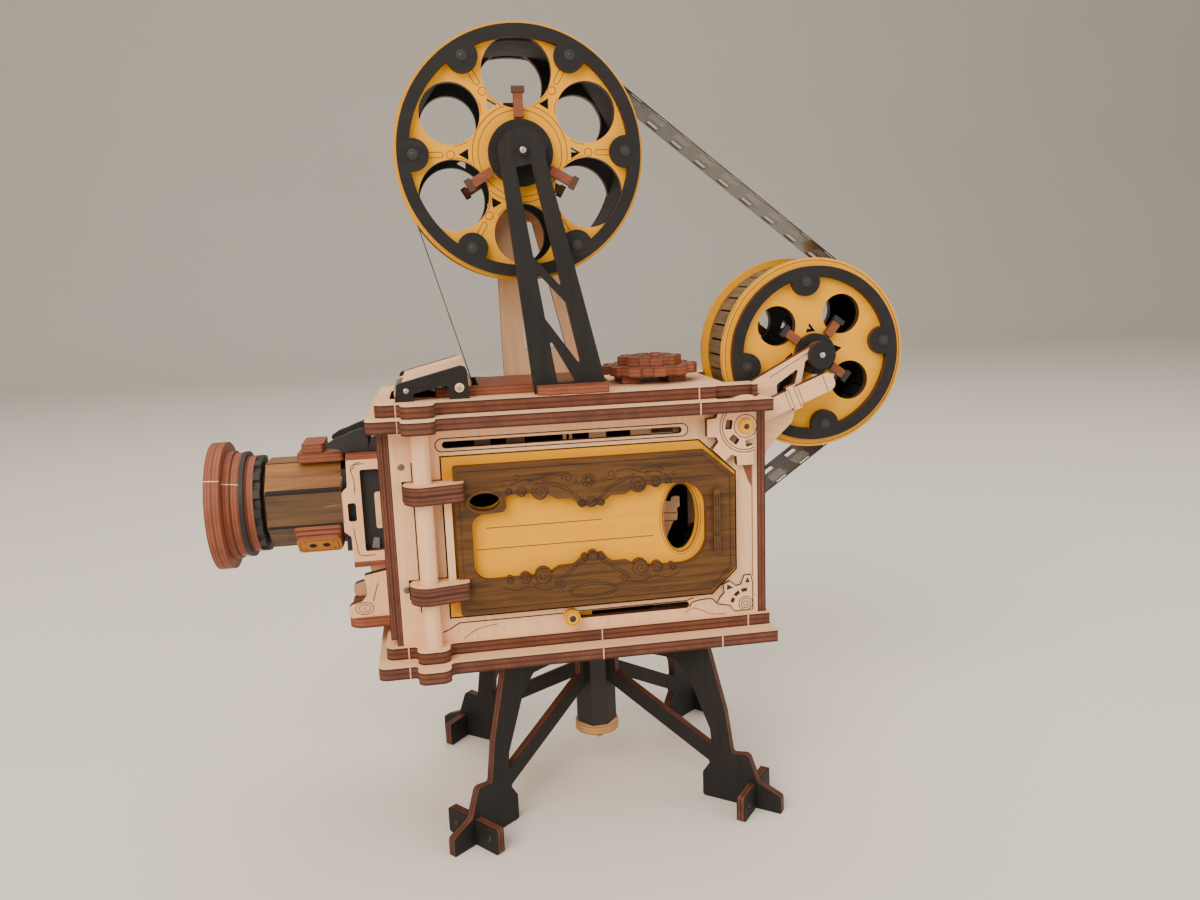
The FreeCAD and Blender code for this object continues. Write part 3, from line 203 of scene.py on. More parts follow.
def layered(finish, start, face, way, layer, twin, grain, edge):
    """Colour and relief of a sheet: a grained face, and a burnt edge that shows the layers.

    way is the sheet's normal, start and layer give where its layers begin and how thick
    they are, and twin says that the same sheet stands on both sides of the middle.
    """
    tone, streak, share, _ = FACES[face]
    depth = reach(finish, finish.place, way, twin)
    depth = finish.maths("DIVIDE", finish.maths("SUBTRACT", depth, start * MM), layer * MM)
    depth = finish.maths("FRACT", finish.maths("ADD", depth, 40))
    soot = finish.noise(900, detail=4)
    wavy = finish.maths("ADD", depth, finish.spread(soot, -0.05, 0.05))
    dark, pale, middle = edge
    layers = finish.ramp(
        wavy, (0, dark), (0.1, dark), (0.2, pale), (0.4, pale), (0.46, middle),
        (0.56, middle), (0.62, pale), (0.82, pale), (0.9, dark), (1, dark),
    )
    burn = finish.noise(180, detail=4, rough=0.6)
    side = finish.mix(finish.ramp(burn, (0.36, 0.5), (0.68, 0)), layers, dark)

    fibre = finish.noise(GRAINS[grain], detail=6, rough=0.62, twist=0.35)
    cloud = finish.noise(55, detail=2)
    lines = finish.ramp(fibre, (0.36, 0), (0.5, share * 0.35), (0.68, share))
    printed = finish.mix(lines, tone, streak)
    printed = finish.mix(finish.ramp(cloud, (0.35, 0.16), (0.7, 0)), printed, streak)
    facing = finish.maths("ABSOLUTE", reach(finish, finish.normal, way, twin))
    on_face = finish.ramp(facing, (0.72, 0), (0.8, 1))
    return finish.mix(on_face, side, printed), finish.mix(on_face, soot, fibre)


def plywood(name, start, sheet, *zones):
    """Laser-cut sheet; zones are (way, low, high, twin, start, sheet) with a sheet of their own.

    A zone is where a place lies between two millimetre levels along its way.
    """
    finish = Finish(name, Specular_IOR_Level=0.3)
    colour, height = layered(finish, start, *sheet)
    for way, low, high, twin, other_start, other in zones:
        level = reach(finish, finish.place, way, twin)
        above = finish.maths("GREATER_THAN", level, low * MM)
        inside = finish.maths("MULTIPLY", above, finish.maths("LESS_THAN", level, high * MM))
        second, relief = layered(finish, other_start, *other)
        colour = finish.mix(inside, colour, second)
        height = finish.mix(inside, height, relief)
    rough = FACES[sheet[0]][3]
    return finish.made(colour, finish.noise(140), rough - 0.1, rough + 0.14, height, 0.00005, 0.7)


def round_from(finish, centre):
    """Distance in metres from an axis that runs along y."""
    offsets = []
    for axis, middle in zip((X, Z), centre):
        offset = finish.maths("SUBTRACT", finish.along(finish.place, axis), middle * MM)
        offsets.append(finish.maths("MULTIPLY", offset, offset))
    return finish.maths("SQRT", finish.maths("ADD", *offsets))


def reel_flange(name, centre, drum):
    """Yellow outside and on the rim; black where the holes look in on the core, as painted shade
    on the hole walls.
    """
    finish = Finish(name, Specular_IOR_Level=0.3)
    inside = FLANGE - 3
    yellow, height = layered(finish, inside, "yellow", "front", 3, True, "x", YELLOW_EDGE)
    black, _ = layered(finish, inside, "black", "front", 3, True, "x", BLACK_EDGE)
    # Painted shade: below the outer face and inside the core's radius the hole walls are coloured
    # black for the shade within the holes.
    inner = finish.maths("LESS_THAN", round_from(finish, centre), drum * MM)
    level = reach(finish, finish.place, "front", True)
    sunk_shade = finish.maths("LESS_THAN", level, (FLANGE - 0.2) * MM)
    colour = finish.mix(finish.maths("MULTIPLY", inner, sunk_shade), yellow, black)
    return finish.made(colour, finish.noise(140), 0.4, 0.62, height, 0.00005, 0.7)


def slatted(name):
    """Solid wood slats: golden where they face up, greyer on the sides; the change is partly the
    wood's own tone and partly painted light from above.
    """
    finish = Finish(name)
    fibre = finish.noise((26, 420, 420), detail=7, rough=0.66, twist=0.6)
    flame = finish.noise((40, 300, 300), detail=4, twist=1.2, shift=(0, 0, 4))
    streaks = finish.ramp(fibre, (0.34, 0), (0.66, 0.9))
    gold = finish.mix(streaks, (146, 94, 36), (76, 46, 18))
    grey = finish.mix(streaks, (100, 70, 38), (50, 34, 20))
    # Painted light, partly real tone: faces that look up get the lighter gold and the sides the
    # darker grey, as light from above falls.
    light_from_above = finish.ramp(finish.along(finish.normal, Z), (0.2, 0), (0.5, 1))
    colour = finish.mix(light_from_above, grey, gold)
    colour = finish.mix(finish.ramp(flame, (0.6, 0), (0.72, 0.35)), colour, (180, 124, 60))
    endwise = finish.maths("ABSOLUTE", finish.along(finish.normal, X))
    colour = finish.mix(finish.ramp(endwise, (0.7, 0), (0.8, 1)), colour, (44, 28, 20))
    return finish.made(colour, fibre, 0.42, 0.66, fibre, 0.00008, 0.8)


def metal(name, tone, rough):
    finish = Finish(name, Metallic=1)
    worn = finish.noise((400, 400, 4000), detail=4)
    colour = finish.mix(finish.ramp(worn, (0.4, 0), (0.75, 0.5)), tone, (90, 84, 76))
    return finish.made(colour, worn, rough, rough + 0.25, worn, 0.00002, 0.5)


def moulded(name, tone, rough=0.42, shade=0.6):
    """Even paint or plastic, clouded with its own tone times shade."""
    finish = Finish(name)
    cloud = finish.noise(300, detail=5)
    dim = (*(value * shade for value in paint(*tone)[:3]), 1)
    colour = finish.mix(finish.ramp(cloud, (0.4, 0), (0.8, 0.8)), tone, dim)
    pits = finish.noise(2600, detail=2)
    return finish.made(colour, cloud, rough, rough + 0.2, pits, 0.00002, 0.35)


def scorched(name, tone=(38, 22, 16)):
    """The dark, dull bottom of an engraved line."""
    finish = Finish(name)
    soot = finish.noise(1800)
    lighter = tuple(value * 1.3 + 8 for value in tone)
    return finish.made(finish.mix(soot, tone, lighter), soot, 0.75, 0.95)


def smoky(name, tone, cover):
    """Translucent film."""
    finish = Finish(name, Roughness=0.22, Alpha=cover, IOR=1.49)
    haze = finish.noise(220, detail=4)
    colour = finish.mix(haze, tone, tuple(value + 26 for value in tone))
    return finish.made(colour, haze, 0.16, 0.34, finish.noise(60, detail=2), 0.0001, 0.3)


def clear_glass(name):
    finish = Finish(name, Transmission_Weight=1, IOR=1.5)
    smear = finish.noise(180)
    return finish.made(finish.mix(smear, (236, 240, 238), (214, 222, 222)), smear, 0.02, 0.1)


def circuit(name):
    """Lacquered green board."""
    finish = Finish(name, Specular_IOR_Level=0.6)
    cloud = finish.noise(500, detail=5)
    colour = finish.mix(cloud, (20, 74, 40), (34, 104, 56))
    return finish.made(colour, cloud, 0.25, 0.45, cloud, 0.00004, 0.4)


def dowel(name):
    """Turned birch: the grain runs with the axis and there is no burnt edge."""
    tone, streak, share, rough = FACES["birch"]
    finish = Finish(name)
    waves = (700, 700, 30) if name == "hinge_post" else (700, 30, 700)
    fibre = finish.noise(waves, detail=5, twist=0.2)
    colour = finish.mix(finish.ramp(fibre, (0.4, 0), (0.75, share)), tone, streak)
    return finish.made(colour, fibre, rough - 0.08, rough + 0.12, fibre, 0.00004, 0.6)


def slit_drum(name):
    """Core of bent sheet: worn brown wood round the rim, and painted shade, nearly black, within
    it.
    """
    finish = Finish(name)
    fibre = finish.noise((620, 40, 620), detail=6)
    worn = finish.noise(120)
    streaks = finish.ramp(fibre, (0.35, 0), (0.7, 0.9))
    tone = finish.mix(streaks, (132, 104, 66), (84, 62, 40))
    tone = finish.mix(finish.ramp(worn, (0.4, 0.4), (0.7, 0)), tone, (60, 44, 30))
    # Painted shade: inside the drum's radius the wood is coloured nearly black for the shade in
    # its hollow.
    inner = finish.maths("LESS_THAN", round_from(finish, REAR_REEL), 30.5 * MM)
    tone = finish.mix(inner, tone, (24, 20, 18))
    return finish.made(tone, worn, 0.55, 0.75, fibre, 0.00006, 0.8)


def dress(node, make, *values):
    """Gives a solid of the model a finish that bears its name."""
    mesh = NODES[node].data
    mesh.materials.clear()
    mesh.materials.append(make(node, *values))


# Sheets as (face, way across, layer, twin, grain, edge), and where each node's layers start
SHEETS = (
    (("birch", "flat", 3, False, "x", PALE_EDGE), {"swivel_post": 16.7}),
    (("birch", "flat", 3, False, "x", BURNT), {"door_hinge_leaves": 82}),
    (("birch", "flat", 4, False, "x", BURNT), {
        "base_plate_lower": 58, "base_plate_upper": 62, "top_plate_lower": 138.5,
        "top_plate_upper": 142.5}),
    (("birch", "front", 3, False, "z", BURNT), {
        "near_wall": -27, "far_wall": 24, "corner_gear": -30, "reel_arm_far": 19}),
    (("birch", "side", 1.95, False, "z", BURNT), {"front_wall": -64.6}),
    (("birch", "side", 3, False, "z", BURNT), {"rear_wall": 61.5}),
    (("birch", "front", 2.85, False, "x", BURNT), {"rear_lever": -23.85}),
    (("birch", "front", 3, False, "x", BURNT), {"crank_gear": 15.2, "sprocket_gear": 15.2}),
    (("birch", "front", 3, True, "x", BURNT), {"rear_brackets": 17.7}),
    (("birch", "front", 3, True, "z", BURNT), {"gate_frames": 11}),
    (("yellow", "front", 3, False, "x", YELLOW_EDGE), {
        "door_sheet": -27, "latch_slider": -30.15}),
    (("mustard", "slat", 1.4, True, "x", COPPER_EDGE), {"focus_tabs": -62.1}),
    (("walnut", "front", 3, False, "x", BURNT), {"door_overlay": -30}),
    (("stained", "front", 3, False, "z", BURNT), {"crank_arm": 29}),
    (("stained", "front", 2.2, True, "x", BURNT), {
        "top_reel_tabs": FLANGE, "rear_reel_tabs": FLANGE}),
    (("stained", "flat", 3, False, "x", COPPER_EDGE), {
        "top_trim": ROOF, "cog_ornament": ROOF, "barrel_plates": 126.3}),
    (("stained", "side", 2.4, False, "z", COPPER_EDGE), {"lens_rings": -120}),
    (("black", "front", 3, False, "z", BLACK_EDGE), {"reel_arm_near": -22}),
    (("black", "front", 3, False, "x", BLACK_EDGE), {"idler_gear": 19.2, "shutter_wheel": 15.2}),
    (("black", "front", 3, True, "x", BLACK_EDGE), {"guide_sides": 19, "mechanism_plates": 11.5}),
    (("black", "front", 2.5, True, "x", BLACK_EDGE), {
        "top_reel_rings": FLANGE, "top_reel_hub": FLANGE, "rear_reel_rings": FLANGE,
        "rear_reel_hub": FLANGE}),
)
BOARD = (127.2, ("stained", "flat", 2, False, "x", COPPER_EDGE))
SLIP = (-64.9, ("stained", "slat", 1.4, True, "x", COPPER_EDGE))
BOOT = (10.5, ("birch", "front", 3, True, "z", BURNT))
STRIP = (-30, ("birch", "front", 3, False, "z", BURNT))
LINER = (11, ("black", "front", 3, True, "z", BLACK_EDGE))
ZONES = {
    "barrel_plates": (("flat", 90, 125, False, *SLIP), ("flat", 72.45, 88.8, False, *BOOT)),
    "gate_frames": (("flat", 127.25, 130, False, *BOARD), ("flat", 90, 92.35, False, *BOARD),
                    ("front", 0, 10.98, True, *LINER)),
    "door_hinge_leaves": (("flat", 88.05, 114.95, False, *STRIP),),
}


def dress_sheets():
    """Every node that is cut from sheet."""
    for sheet, nodes in SHEETS:
        for node, start in nodes.items():
            dress(node, plywood, start, sheet, *ZONES.get(node, ()))
    dress("top_reel_flanges", reel_flange, TOP_REEL, 38)
    dress("rear_reel_flanges", reel_flange, REAR_REEL, 30.8)


def leg_ways(angle):
    """Across a leg's sheet, and out from the stand's axis."""
    turn = math.radians(angle)
    out = Vector((math.cos(turn), math.sin(turn), 0))
    return Z.cross(out), out


def dress_legs():
    """Each leg's sheet, with its foot's cross block on both sides of it."""
    for node, angle in LEGS.items():
        across, out = leg_ways(angle)
        start = across.x * STAND_X - 1.5
        block = (out.x * STAND_X + 61, ("black", out, 3, False, "x", BLACK_EDGE))
        dress(node, plywood, start, ("black", across, 3, False, "z", BLACK_EDGE),
              (across, start - 30, start - 0.05, False, *block),
              (across, start + 3.05, start + 33, False, *block))


def dress_others():
    """Turned, bent and moulded nodes."""
    for node in ("hinge_post", "guide_roller", "lower_roller", "film_sprocket", "guide_cover",
                 "crank_knob"):
        dress(node, dowel)
    dress("rear_reel_drum", slit_drum)
    dress("film_loop", smoky, (90, 94, 88), 0.7)
    dress("lens_glass", clear_glass)
    dress("lamp_board", circuit)
    dress("battery_holder", moulded, (30, 30, 32), 0.4, 1.5)
    dress("music_cylinder", metal, (196, 152, 74), 0.28)
    dress("music_comb", metal, (170, 170, 168), 0.3)
    dress("lens_barrel", slatted)
    dress("top_reel_drum", moulded, (26, 22, 20), 0.55, 1.4)
    dress("stand_hub", moulded, (28, 25, 24), 0.5, 1.5)
    dress("lens_toothed_disc", moulded, (22, 18, 16), 0.5, 1.8)


INK = scorched("engraved_line")
INK_YELLOW = scorched("engraved_line_yellow", (112, 62, 14))
INK_WALNUT = scorched("engraved_line_walnut", (18, 10, 6))
STEEL = metal("bright_steel", (196, 194, 190), 0.25)
DARK_STEEL = metal("dark_steel", (70, 66, 64), 0.35)
BLACK_PAINT = moulded("black_paint", (26, 24, 26), 0.5, 1.6)
YELLOW_PAINT = moulded("yellow_paint", (234, 166, 0), 0.4, 0.8)
BARE_BIRCH = plywood("birch_detail", WALL, ("birch", "front", 3, False, "x", BURNT))
WALNUT = plywood("walnut_detail", OVERLAY, ("walnut", "front", 3, False, "x", BURNT))
STAIN = plywood("stained_detail", OVERLAY, ("stained", "front", 3, False, "x", BURNT))
DARK_STAIN = moulded("dark_stain", (72, 40, 28), 0.55, 1.5)
PALE_SLIP = moulded("pale_slip", (236, 190, 156))


# ---- drawing


def near(level):
    """Face that lies at a level, as u and v on it, w out of it and an origin."""
    return X, Z, -Y, Y * level


def top(level):
    return X, Y, Z, Z * level


def front(level):
    return Y, Z, -X, X * level


def both(level):
    """The near and the far face that lie that far from the middle."""
    return near(-level), (X, Z, Y, Y * level)


def barrel_face(angle, radius):
    """Face that looks out from the lens's axis; u runs along it, and 0 degrees is far."""
    turn = math.radians(angle)
    out = Vector((0, math.cos(turn), math.sin(turn)))
    return X, X.cross(out), out, Z * LENS_Z + out * radius


def ring(centre, radius, start=0, end=360, steps=48):
    """Points on an arc; a full ring when it spans 360 degrees. radius may be (wide, high)."""
    wide, high = radius if isinstance(radius, tuple) else (radius, radius)
    count = max(3, round(steps * abs(end - start) / 360))
    last = count if abs(end - start) >= 359.9 else count + 1
    turns = [math.radians(start + (end - start) * number / count) for number in range(last)]
    return [(centre[0] + wide * math.cos(turn), centre[1] + high * math.sin(turn))
            for turn in turns]


def polar(centre, radius, angle):
    turn = math.radians(angle)
    return (centre[0] + radius * math.cos(turn), centre[1] + radius * math.sin(turn))


def smooth(*points):
    """Curve through points, in six steps from each to the next."""
    out = []
    for number in range(len(points) - 1):
        before = Vector(points[max(number - 1, 0)])
        here, there = Vector(points[number]), Vector(points[number + 1])
        after = Vector(points[min(number + 2, len(points) - 1)])
        for step in range(6):
            t = step / 6
            spot = 0.5 * (
                2 * here + (there - before) * t
                + (2 * before - 5 * here + 4 * there - after) * t ** 2
                + (3 * here - before - 3 * there + after) * t ** 3
            )
            out.append(tuple(spot))
    out.append(tuple(points[-1]))
    return out


def curl(centre, radius, start, turns, hand=1):
    """Spiral that runs in to its centre."""
    count = round(26 * turns)
    shares = [number / count for number in range(count + 1)]
    return [polar(centre, radius * (1 - 0.8 * share), start + hand * 360 * turns * share)
            for share in shares]


class Piece:
    """One detail piece, gathered from strips, plates and turned forms on the object's faces."""

    made = []

    def __init__(self, name, slot, material, body="head", soft=True):
        self.name, self.body, self.slot, self.material = name, body, slot, material
        self.soft = soft
        self.corners = []
        self.faces = []
        self.made.append(self)

    def add(self, face, flat, polygons):
        """Corners as (u, v, w) on a face, and polygons of their numbers."""
        right, up, out, origin = face
        first = len(self.corners)
        self.corners += [(origin + right * u + up * v + out * w) * MM for u, v, w in flat]
        self.faces += [[first + corner for corner in polygon] for polygon in polygons]

    def line(self, face, width, *paths, closed=False, low=-0.03, high=LINE_DEPTH):
        """Strips along paths."""
        for points in paths:
            count = len(points)
            flat = []
            for number, point in enumerate(points):
                before = points[number - 1] if closed or number else point
                after = points[(number + 1) % count] if closed or number < count - 1 else point
                way = Vector(after) - Vector(before)
                across = Vector((-way.y, way.x)).normalized() * width / 2
                left, right = Vector(point) + across, Vector(point) - across
                flat += [(*left, low), (*left, high), (*right, high), (*right, low)]
            polygons = []
            for number in range(count if closed else count - 1):
                a, b = number * 4, (number + 1) % count * 4
                for edge, step in ((0, 1), (1, 2), (2, 3), (3, 0)):
                    polygons.append((a + edge, b + edge, b + step, a + step))
            if not closed:
                polygons += [(0, 1, 2, 3), tuple(count * 4 - number for number in (1, 2, 3, 4))]
            self.add(face, flat, polygons)

    def loop(self, face, width, *paths, **levels):
        """Closed strips along paths."""
        self.line(face, width, *paths, closed=True, **levels)

    def plate(self, face, low, high, *loops):
        """Flat plate between two levels; the loops after the first are holes."""
        spots = [point for loop in loops for point in loop]
        triangles = tessellate_polygon([[Vector((*point, 0)) for point in loop] for loop in loops])
        count = len(spots)
        flat = [(*point, low) for point in spots] + [(*point, high) for point in spots]
        polygons = [tuple(corner + rise for corner in triangle)
                    for rise in (0, count) for triangle in triangles]
        first = 0
        for loop in loops:
            for number in range(len(loop)):
                a, b = first + number, first + (number + 1) % len(loop)
                polygons.append((a, b, b + count, a + count))
            first += len(loop)
        self.add(face, flat, polygons)

    def turned(self, face, centre, profile, steps=28):
        """Form turned about w from (radius, w) points; ends on the axis close it."""
        flat = [(*polar(centre, radius, 360 * number / steps), level)
                for number in range(steps) for radius, level in profile]
        rows = len(profile)
        polygons = []
        for number in range(steps):
            a, b = number * rows, (number + 1) % steps * rows
            polygons += [(a + row, b + row, b + row + 1, a + row + 1) for row in range(rows - 1)]
        self.add(face, flat, polygons)

    def screw(self, face, centre, radius, height):
        """Low domed head."""
        self.turned(face, centre, [
            (0, height), (radius * 0.55, height * 0.96), (radius * 0.86, height * 0.7),
            (radius, height * 0.25), (radius, -0.05), (0, -0.05),
        ])

    def finish(self):
        """Puts the piece in the scene, on its body and with its material."""
        mesh = bpy.data.meshes.new(self.name)
        mesh.from_pydata(self.corners, [], self.faces)
        work = bmesh.new()
        work.from_mesh(mesh)
        bmesh.ops.remove_doubles(work, verts=work.verts, dist=1e-7)
        bmesh.ops.dissolve_degenerate(work, edges=work.edges, dist=1e-8)
        bmesh.ops.recalc_face_normals(work, faces=work.faces)
        work.to_mesh(mesh)
        work.free()
        mesh.materials.append(self.material)
        if self.soft:
            mesh.shade_smooth()
            mesh.set_sharp_from_angle(angle=math.radians(35))
        piece = placed(self.name, mesh)
        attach(piece, self.body)


# ---- near side


def wall_details():
    """Engraving, pin ends and the corner ornament on the wall round the door."""
    face = near(WALL)
    lines = Piece("near_wall_engraving", "natural_ply", INK)
    header = ring((-44, 132.5), 2.15, 90, 270, 24) + ring((35.4, 132.5), 2.15, -90, 90, 24)
    lines.loop(face, 0.35, header)
    lines.line(face, 0.5, [(-54.1, 77), (-54.1, 127.5)])
    sill = smooth((-47.6, 69.4), (-45.4, 70.3), (-42.4, 72), (-41, 72.2)) + [(-7.2, 72.2)]
    lines.line(face, 0.4, sill, [(-3, 72.5), (36, 72.5), (37.6, 73.2), (38.4, 73.2)],
               smooth((37, 70), (38.4, 71.9), (44.6, 72.4), (47, 70.4), (51.2, 69.6)))
    # Faint brown curves under the sill, darker than the wall, and a faint upright line by the
    # stile.
    faint = Piece("near_wall_faint_lines", "natural_ply", scorched("faint_line", (120, 78, 52)))
    faint.line(face, 0.3, smooth((-41, 66.4), (-37.4, 68.9), (-33.9, 70), (-29.5, 70.6)),
               smooth((35.1, 68.1), (38, 69.6), (41.6, 68.3), (44.6, 66.9), (49.9, 66.4)))
    faint.line(face, 0.35, [(59.75, 79.4), (59.75, 119.7)])

    ornament = Piece("corner_ornament", "natural_ply", BARE_BIRCH, soft=False)
    rim = [(46.6, 70.6), (47.6, 72.6), (49.3, 74.4), (48.8, 77.4), (51.2, 78.5), (53.5, 76.5),
           (55.3, 76.9), (56.5, 80.1), (58.9, 80.1), (59.6, 77.2), (59.6, 67.3), (52.6, 67.3),
           (51.4, 69.5)]
    ornament.plate(face, -0.1, 0.6, rim)
    raised = near(WALL - 0.6)
    lines.loop(raised, 0.3, [(u * 0.985 + 0.82, v * 0.985 + 1.1) for u, v in rim])
    centre = (57, 69.8)
    for radius in (2.5, 1.7, 0.8):
        lines.loop(raised, 0.26, ring(centre, radius, steps=28))
    cuts = [ring(centre, 5.6, start, end, 40) + ring(centre, 4.3, end, start, 40)
            for start, end in ((84, 108), (118, 142), (152, 172))]
    for cut in (*cuts, [(50.4, 77.2), (52.6, 75.9), (50.2, 75.2)],
                [(57.7, 79.2), (58.6, 77.3), (56.8, 77.3)]):
        lines.plate(raised, -0.05, 0.05, cut)

    wedge = Piece("stile_wedge", "walnut_ply", STAIN, soft=False)
    wedge.plate(face, -0.05, 0.12, [(55.6, 121.8), (59.6, 121.8), (59.5, 111.4), (58.4, 113.4)])
    pins = Piece("wall_pin_ends", "steel", metal("pin_metal", (134, 120, 88), 0.3))
    for spot, radius in (((-57.4, 126.2), 1.15), ((-58.4, 85.1), 1.15), ((57.8, 119.2), 0.7)):
        pins.screw(face, spot, radius, 0.25)


def lever_and_latch_details():
    """Rings on the corner gear, and the caps and screws of the lever and the latch."""
    face = near(OVERLAY)
    lines = Piece("corner_gear_engraving", "natural_ply", INK)
    lines.line(face, 0.26, ring(LEVER, 8, 112, 292), ring(LEVER, 8.9, 112, 290))
    lines.loop(face, 0.26, ring(LEVER, 3.9))
    Piece("lever_cap", "yellow_ply", YELLOW_PAINT, "lever").screw(face, LEVER, 2.75, 1.3)
    head = Piece("lever_screw", "steel", DARK_STEEL, "lever")
    head.screw(near(OVERLAY - 1.25), LEVER, 0.95, 0.35)
    face = near(WALL - 3.15)
    Piece("latch_screw", "steel", DARK_STEEL, "latch").screw(face, LATCH, 1.1, 0.35)
    rim = Piece("latch_rim_line", "yellow_ply", INK_YELLOW, "latch")
    rim.loop(face, 0.22, ring(LATCH, 2.2, steps=32))


# Overlay's right half, as offset from its middle and height: ends and curls have a radius
# too, and curls go on with their start, turns, hand and width of the line
MIDDLE = 3
SCROLL_ENDS = (
    (-16.4, 115.6, 2.8), (-22.4, 116, 1.8), (-26.6, 116.3, 1.2),
    (-16.4, 86.8, 2.8), (-22.4, 86.5, 1.8), (-27.6, 86.2, 1.2),
)
STROKES = (
    ((1, 111.2), (4.2, 112.4), (7, 115), (11, 117), (15.5, 118.6)),
    ((1, 110.8), (4.2, 113.4), (7, 116), (11, 118), (15.5, 119.2)),
    ((1.5, 92.2), (5, 90.2), (8.4, 87.6), (13, 84.6)),
    ((1.5, 91.2), (5, 89.2), (8.4, 86.6), (13, 83.6)),
    ((9, 120.4), (13, 121.2), (18, 119.6), (22, 119.8), (26.5, 118.2)),
    ((12.4, 82.6), (16.5, 82), (21, 83.4), (26, 82.8), (30, 84)),
)
CURLS = (
    (7.2, 119.6, 1.9, 200, 1.3, 1, 0.2), (10.6, 83.4, 1.7, 160, 1.3, -1, 0.2),
    (24, 120.6, 1.2, 0, 1.2, -1, 0.18),
)
BEADS = ((4.6, 118.2), (19.6, 119.4), (28.4, 118.6), (19, 83.8))
# Scroll ends at the drop and the crest, with the hand of their spiral
MIDDLE_ENDS = (
    (3.5, 110.9, 1.9, 1), (6.7, 110.5, 1.3, 1), (0.3, 110.5, 1.3, 1),
    (3.5, 92.3, 1.7, -1), (6.3, 91.8, 1.2, -1), (0.7, 91.8, 1.2, -1),
)


def overlay_details():
    """Scrollwork round the yellow field, with a bare cartouche below."""
    face = near(OVERLAY)
    walnut = Piece("overlay_scroll_ends", "walnut_ply", WALNUT, "door", soft=False)
    lines = Piece("overlay_engraving", "walnut_ply", INK_WALNUT, "door")
    ends = [(MIDDLE + offset * hand, height, radius, hand)
            for hand in (1, -1) for offset, height, radius in SCROLL_ENDS]
    for x, z, radius, hand in (*ends, *MIDDLE_ENDS):
        walnut.plate(face, -3, 0.02, ring((x, z), radius, steps=32))
        lines.line(face, 0.22, curl((x, z), radius * 0.82, -70 * hand, 1.4, hand))
        lines.loop(face, 0.2, ring((x, z), radius - 0.12, steps=32), high=0.05)
    for hand in (1, -1):
        for stroke in STROKES:
            lines.line(face, 0.2, smooth(*((MIDDLE + u * hand, v) for u, v in stroke)))
        for u, v, radius, start, turns, way, width in CURLS:
            spot = (MIDDLE + u * hand, v)
            lines.line(face, width, curl(spot, radius, start, turns, way * hand))
        for u, v in BEADS:
            lines.loop(face, 0.16, ring((MIDDLE + u * hand, v), 0.55, steps=14))
    rosette = (MIDDLE - 0.2, 118.2)
    for petal in range(8):
        lines.loop(face, 0.16, ring(polar(rosette, 1.75, petal * 45), 0.62, steps=14))
    cartouche = (MIDDLE, 80.6)
    lines.loop(face, 0.2, ring(rosette, 0.9, steps=20), ring(cartouche, (8.4, 2.5)),
               ring(cartouche, (7.5, 1.8)))
    lines.loop(face, 0.22, [
        (-39.6, 77.2), (43.8, 77.2), (50.9, 84.7), (50.9, 116), (41.7, 123.9), (-39.6, 123.9)])

    eyelet = Piece("peep_rim", "walnut_ply", WALNUT, "door", soft=False)
    peep = (-31.6, 113.5)
    eyelet.plate(face, -0.05, 0.5, ring(peep, (6, 4)), ring(peep, (5, 3)))
    strip = Piece("pull_strip_grooves", "walnut_ply", INK_WALNUT, "door")
    for x in (45.55, 46.45):
        strip.line(near(OVERLAY - 1.5), 0.16, [(x, 91.5), (x, 111)])


def door_details():
    """Rim of the oval window and the two plain rules on the yellow field."""
    face = near(WALL)
    lines = Piece("door_engraving", "yellow_ply", INK_YELLOW, "door")
    window, wide, high = (34.3, 102.4), 5.9, 11.7
    for grow, width in ((0.35, 0.5), (1.25, 0.2)):
        lines.loop(face, width, ring(window, (wide + grow, high + grow), steps=64))
    lines.line(face, 0.3, [(-31.6, 103.9), (7.4, 103.9)], [(-34.6, 96.8), (24.6, 96.8)])


# ---- reels


HOLE_REACH, WIDE_HOLE, NARROW_HOLE = 25.2, 11.2, 9.6


def top_reel_lines(lines, face):
    """Rings by the hub, and between the holes a slot outline, a circle and two bends."""
    lines.loop(face, 0.24, ring(TOP_REEL, 13.5, steps=72))
    for angle in range(0, 360, 60):
        slot = ring(polar(TOP_REEL, 31, angle), 0.85, angle - 90, angle + 90, 20)
        slot += ring(polar(TOP_REEL, 25.4, angle), 0.85, angle + 90, angle + 270, 20)
        lines.loop(face, 0.24, ring(polar(TOP_REEL, 22.2, angle), 1.25, steps=24), slot)
        for hand in (-1, 1):
            hole = angle + 30 * hand
            radius = (WIDE_HOLE if hole % 120 == 90 else NARROW_HOLE) + 0.45
            start = angle - 90 * hand
            spot = polar(TOP_REEL, HOLE_REACH, hole)
            bend = ring(spot, radius, start - 5 * hand, start - 32 * hand, 160)
            lines.line(face, 0.2, bend)
    for start in (90, 210, 330):
        lines.line(face, 0.24, ring(TOP_REEL, 15.3, start + 17, start + 103, 120))


def reel_details(body, centre, lobes, outer_face, keys, key_slot, key_finish):
    """Pegs on the black rings, the axle's steel ends and the ends of the keys.

    lobes and keys start with their number and the first one's angle; a lobe's reach and
    the reach of a key end's inner and outer edge follow.
    """
    pegs = Piece(body + "_pegs", "black_ply", BLACK_PAINT, body)
    dots = Piece(body + "_peg_dots", "steel", DARK_STEEL, body)
    count, first, distance = lobes
    for number in range(count):
        spot = polar(centre, distance, first + number * 360 / count)
        for face in both(RING_FACE):
            pegs.turned(face, spot, [
                (0, 0.35), (1.3, 0.35), (1.75, 0.25), (1.9, 0.05), (1.9, -0.05), (0, -0.05)], 24)
        for face in both(RING_FACE + 0.33):
            dots.screw(face, spot, 0.7, 0.12)
    pins = Piece(body + "_axle_ends", "steel", STEEL, body)
    for face in both(outer_face):
        pins.screw(face, centre, 0.95, 0.2)
    ends = Piece(body + "_key_ends", key_slot, key_finish, body, soft=False)
    count, first, low, high = keys
    for number in range(count):
        angle = first + number * 360 / count
        corners = [polar(polar(centre, distance, angle), 2.1, angle + turn)
                   for distance, turn in ((low, -90), (high, -90), (high, 90), (low, 90))]
        for face in both(KEY_FACE):
            ends.plate(face, -1.2, 0.45, corners)


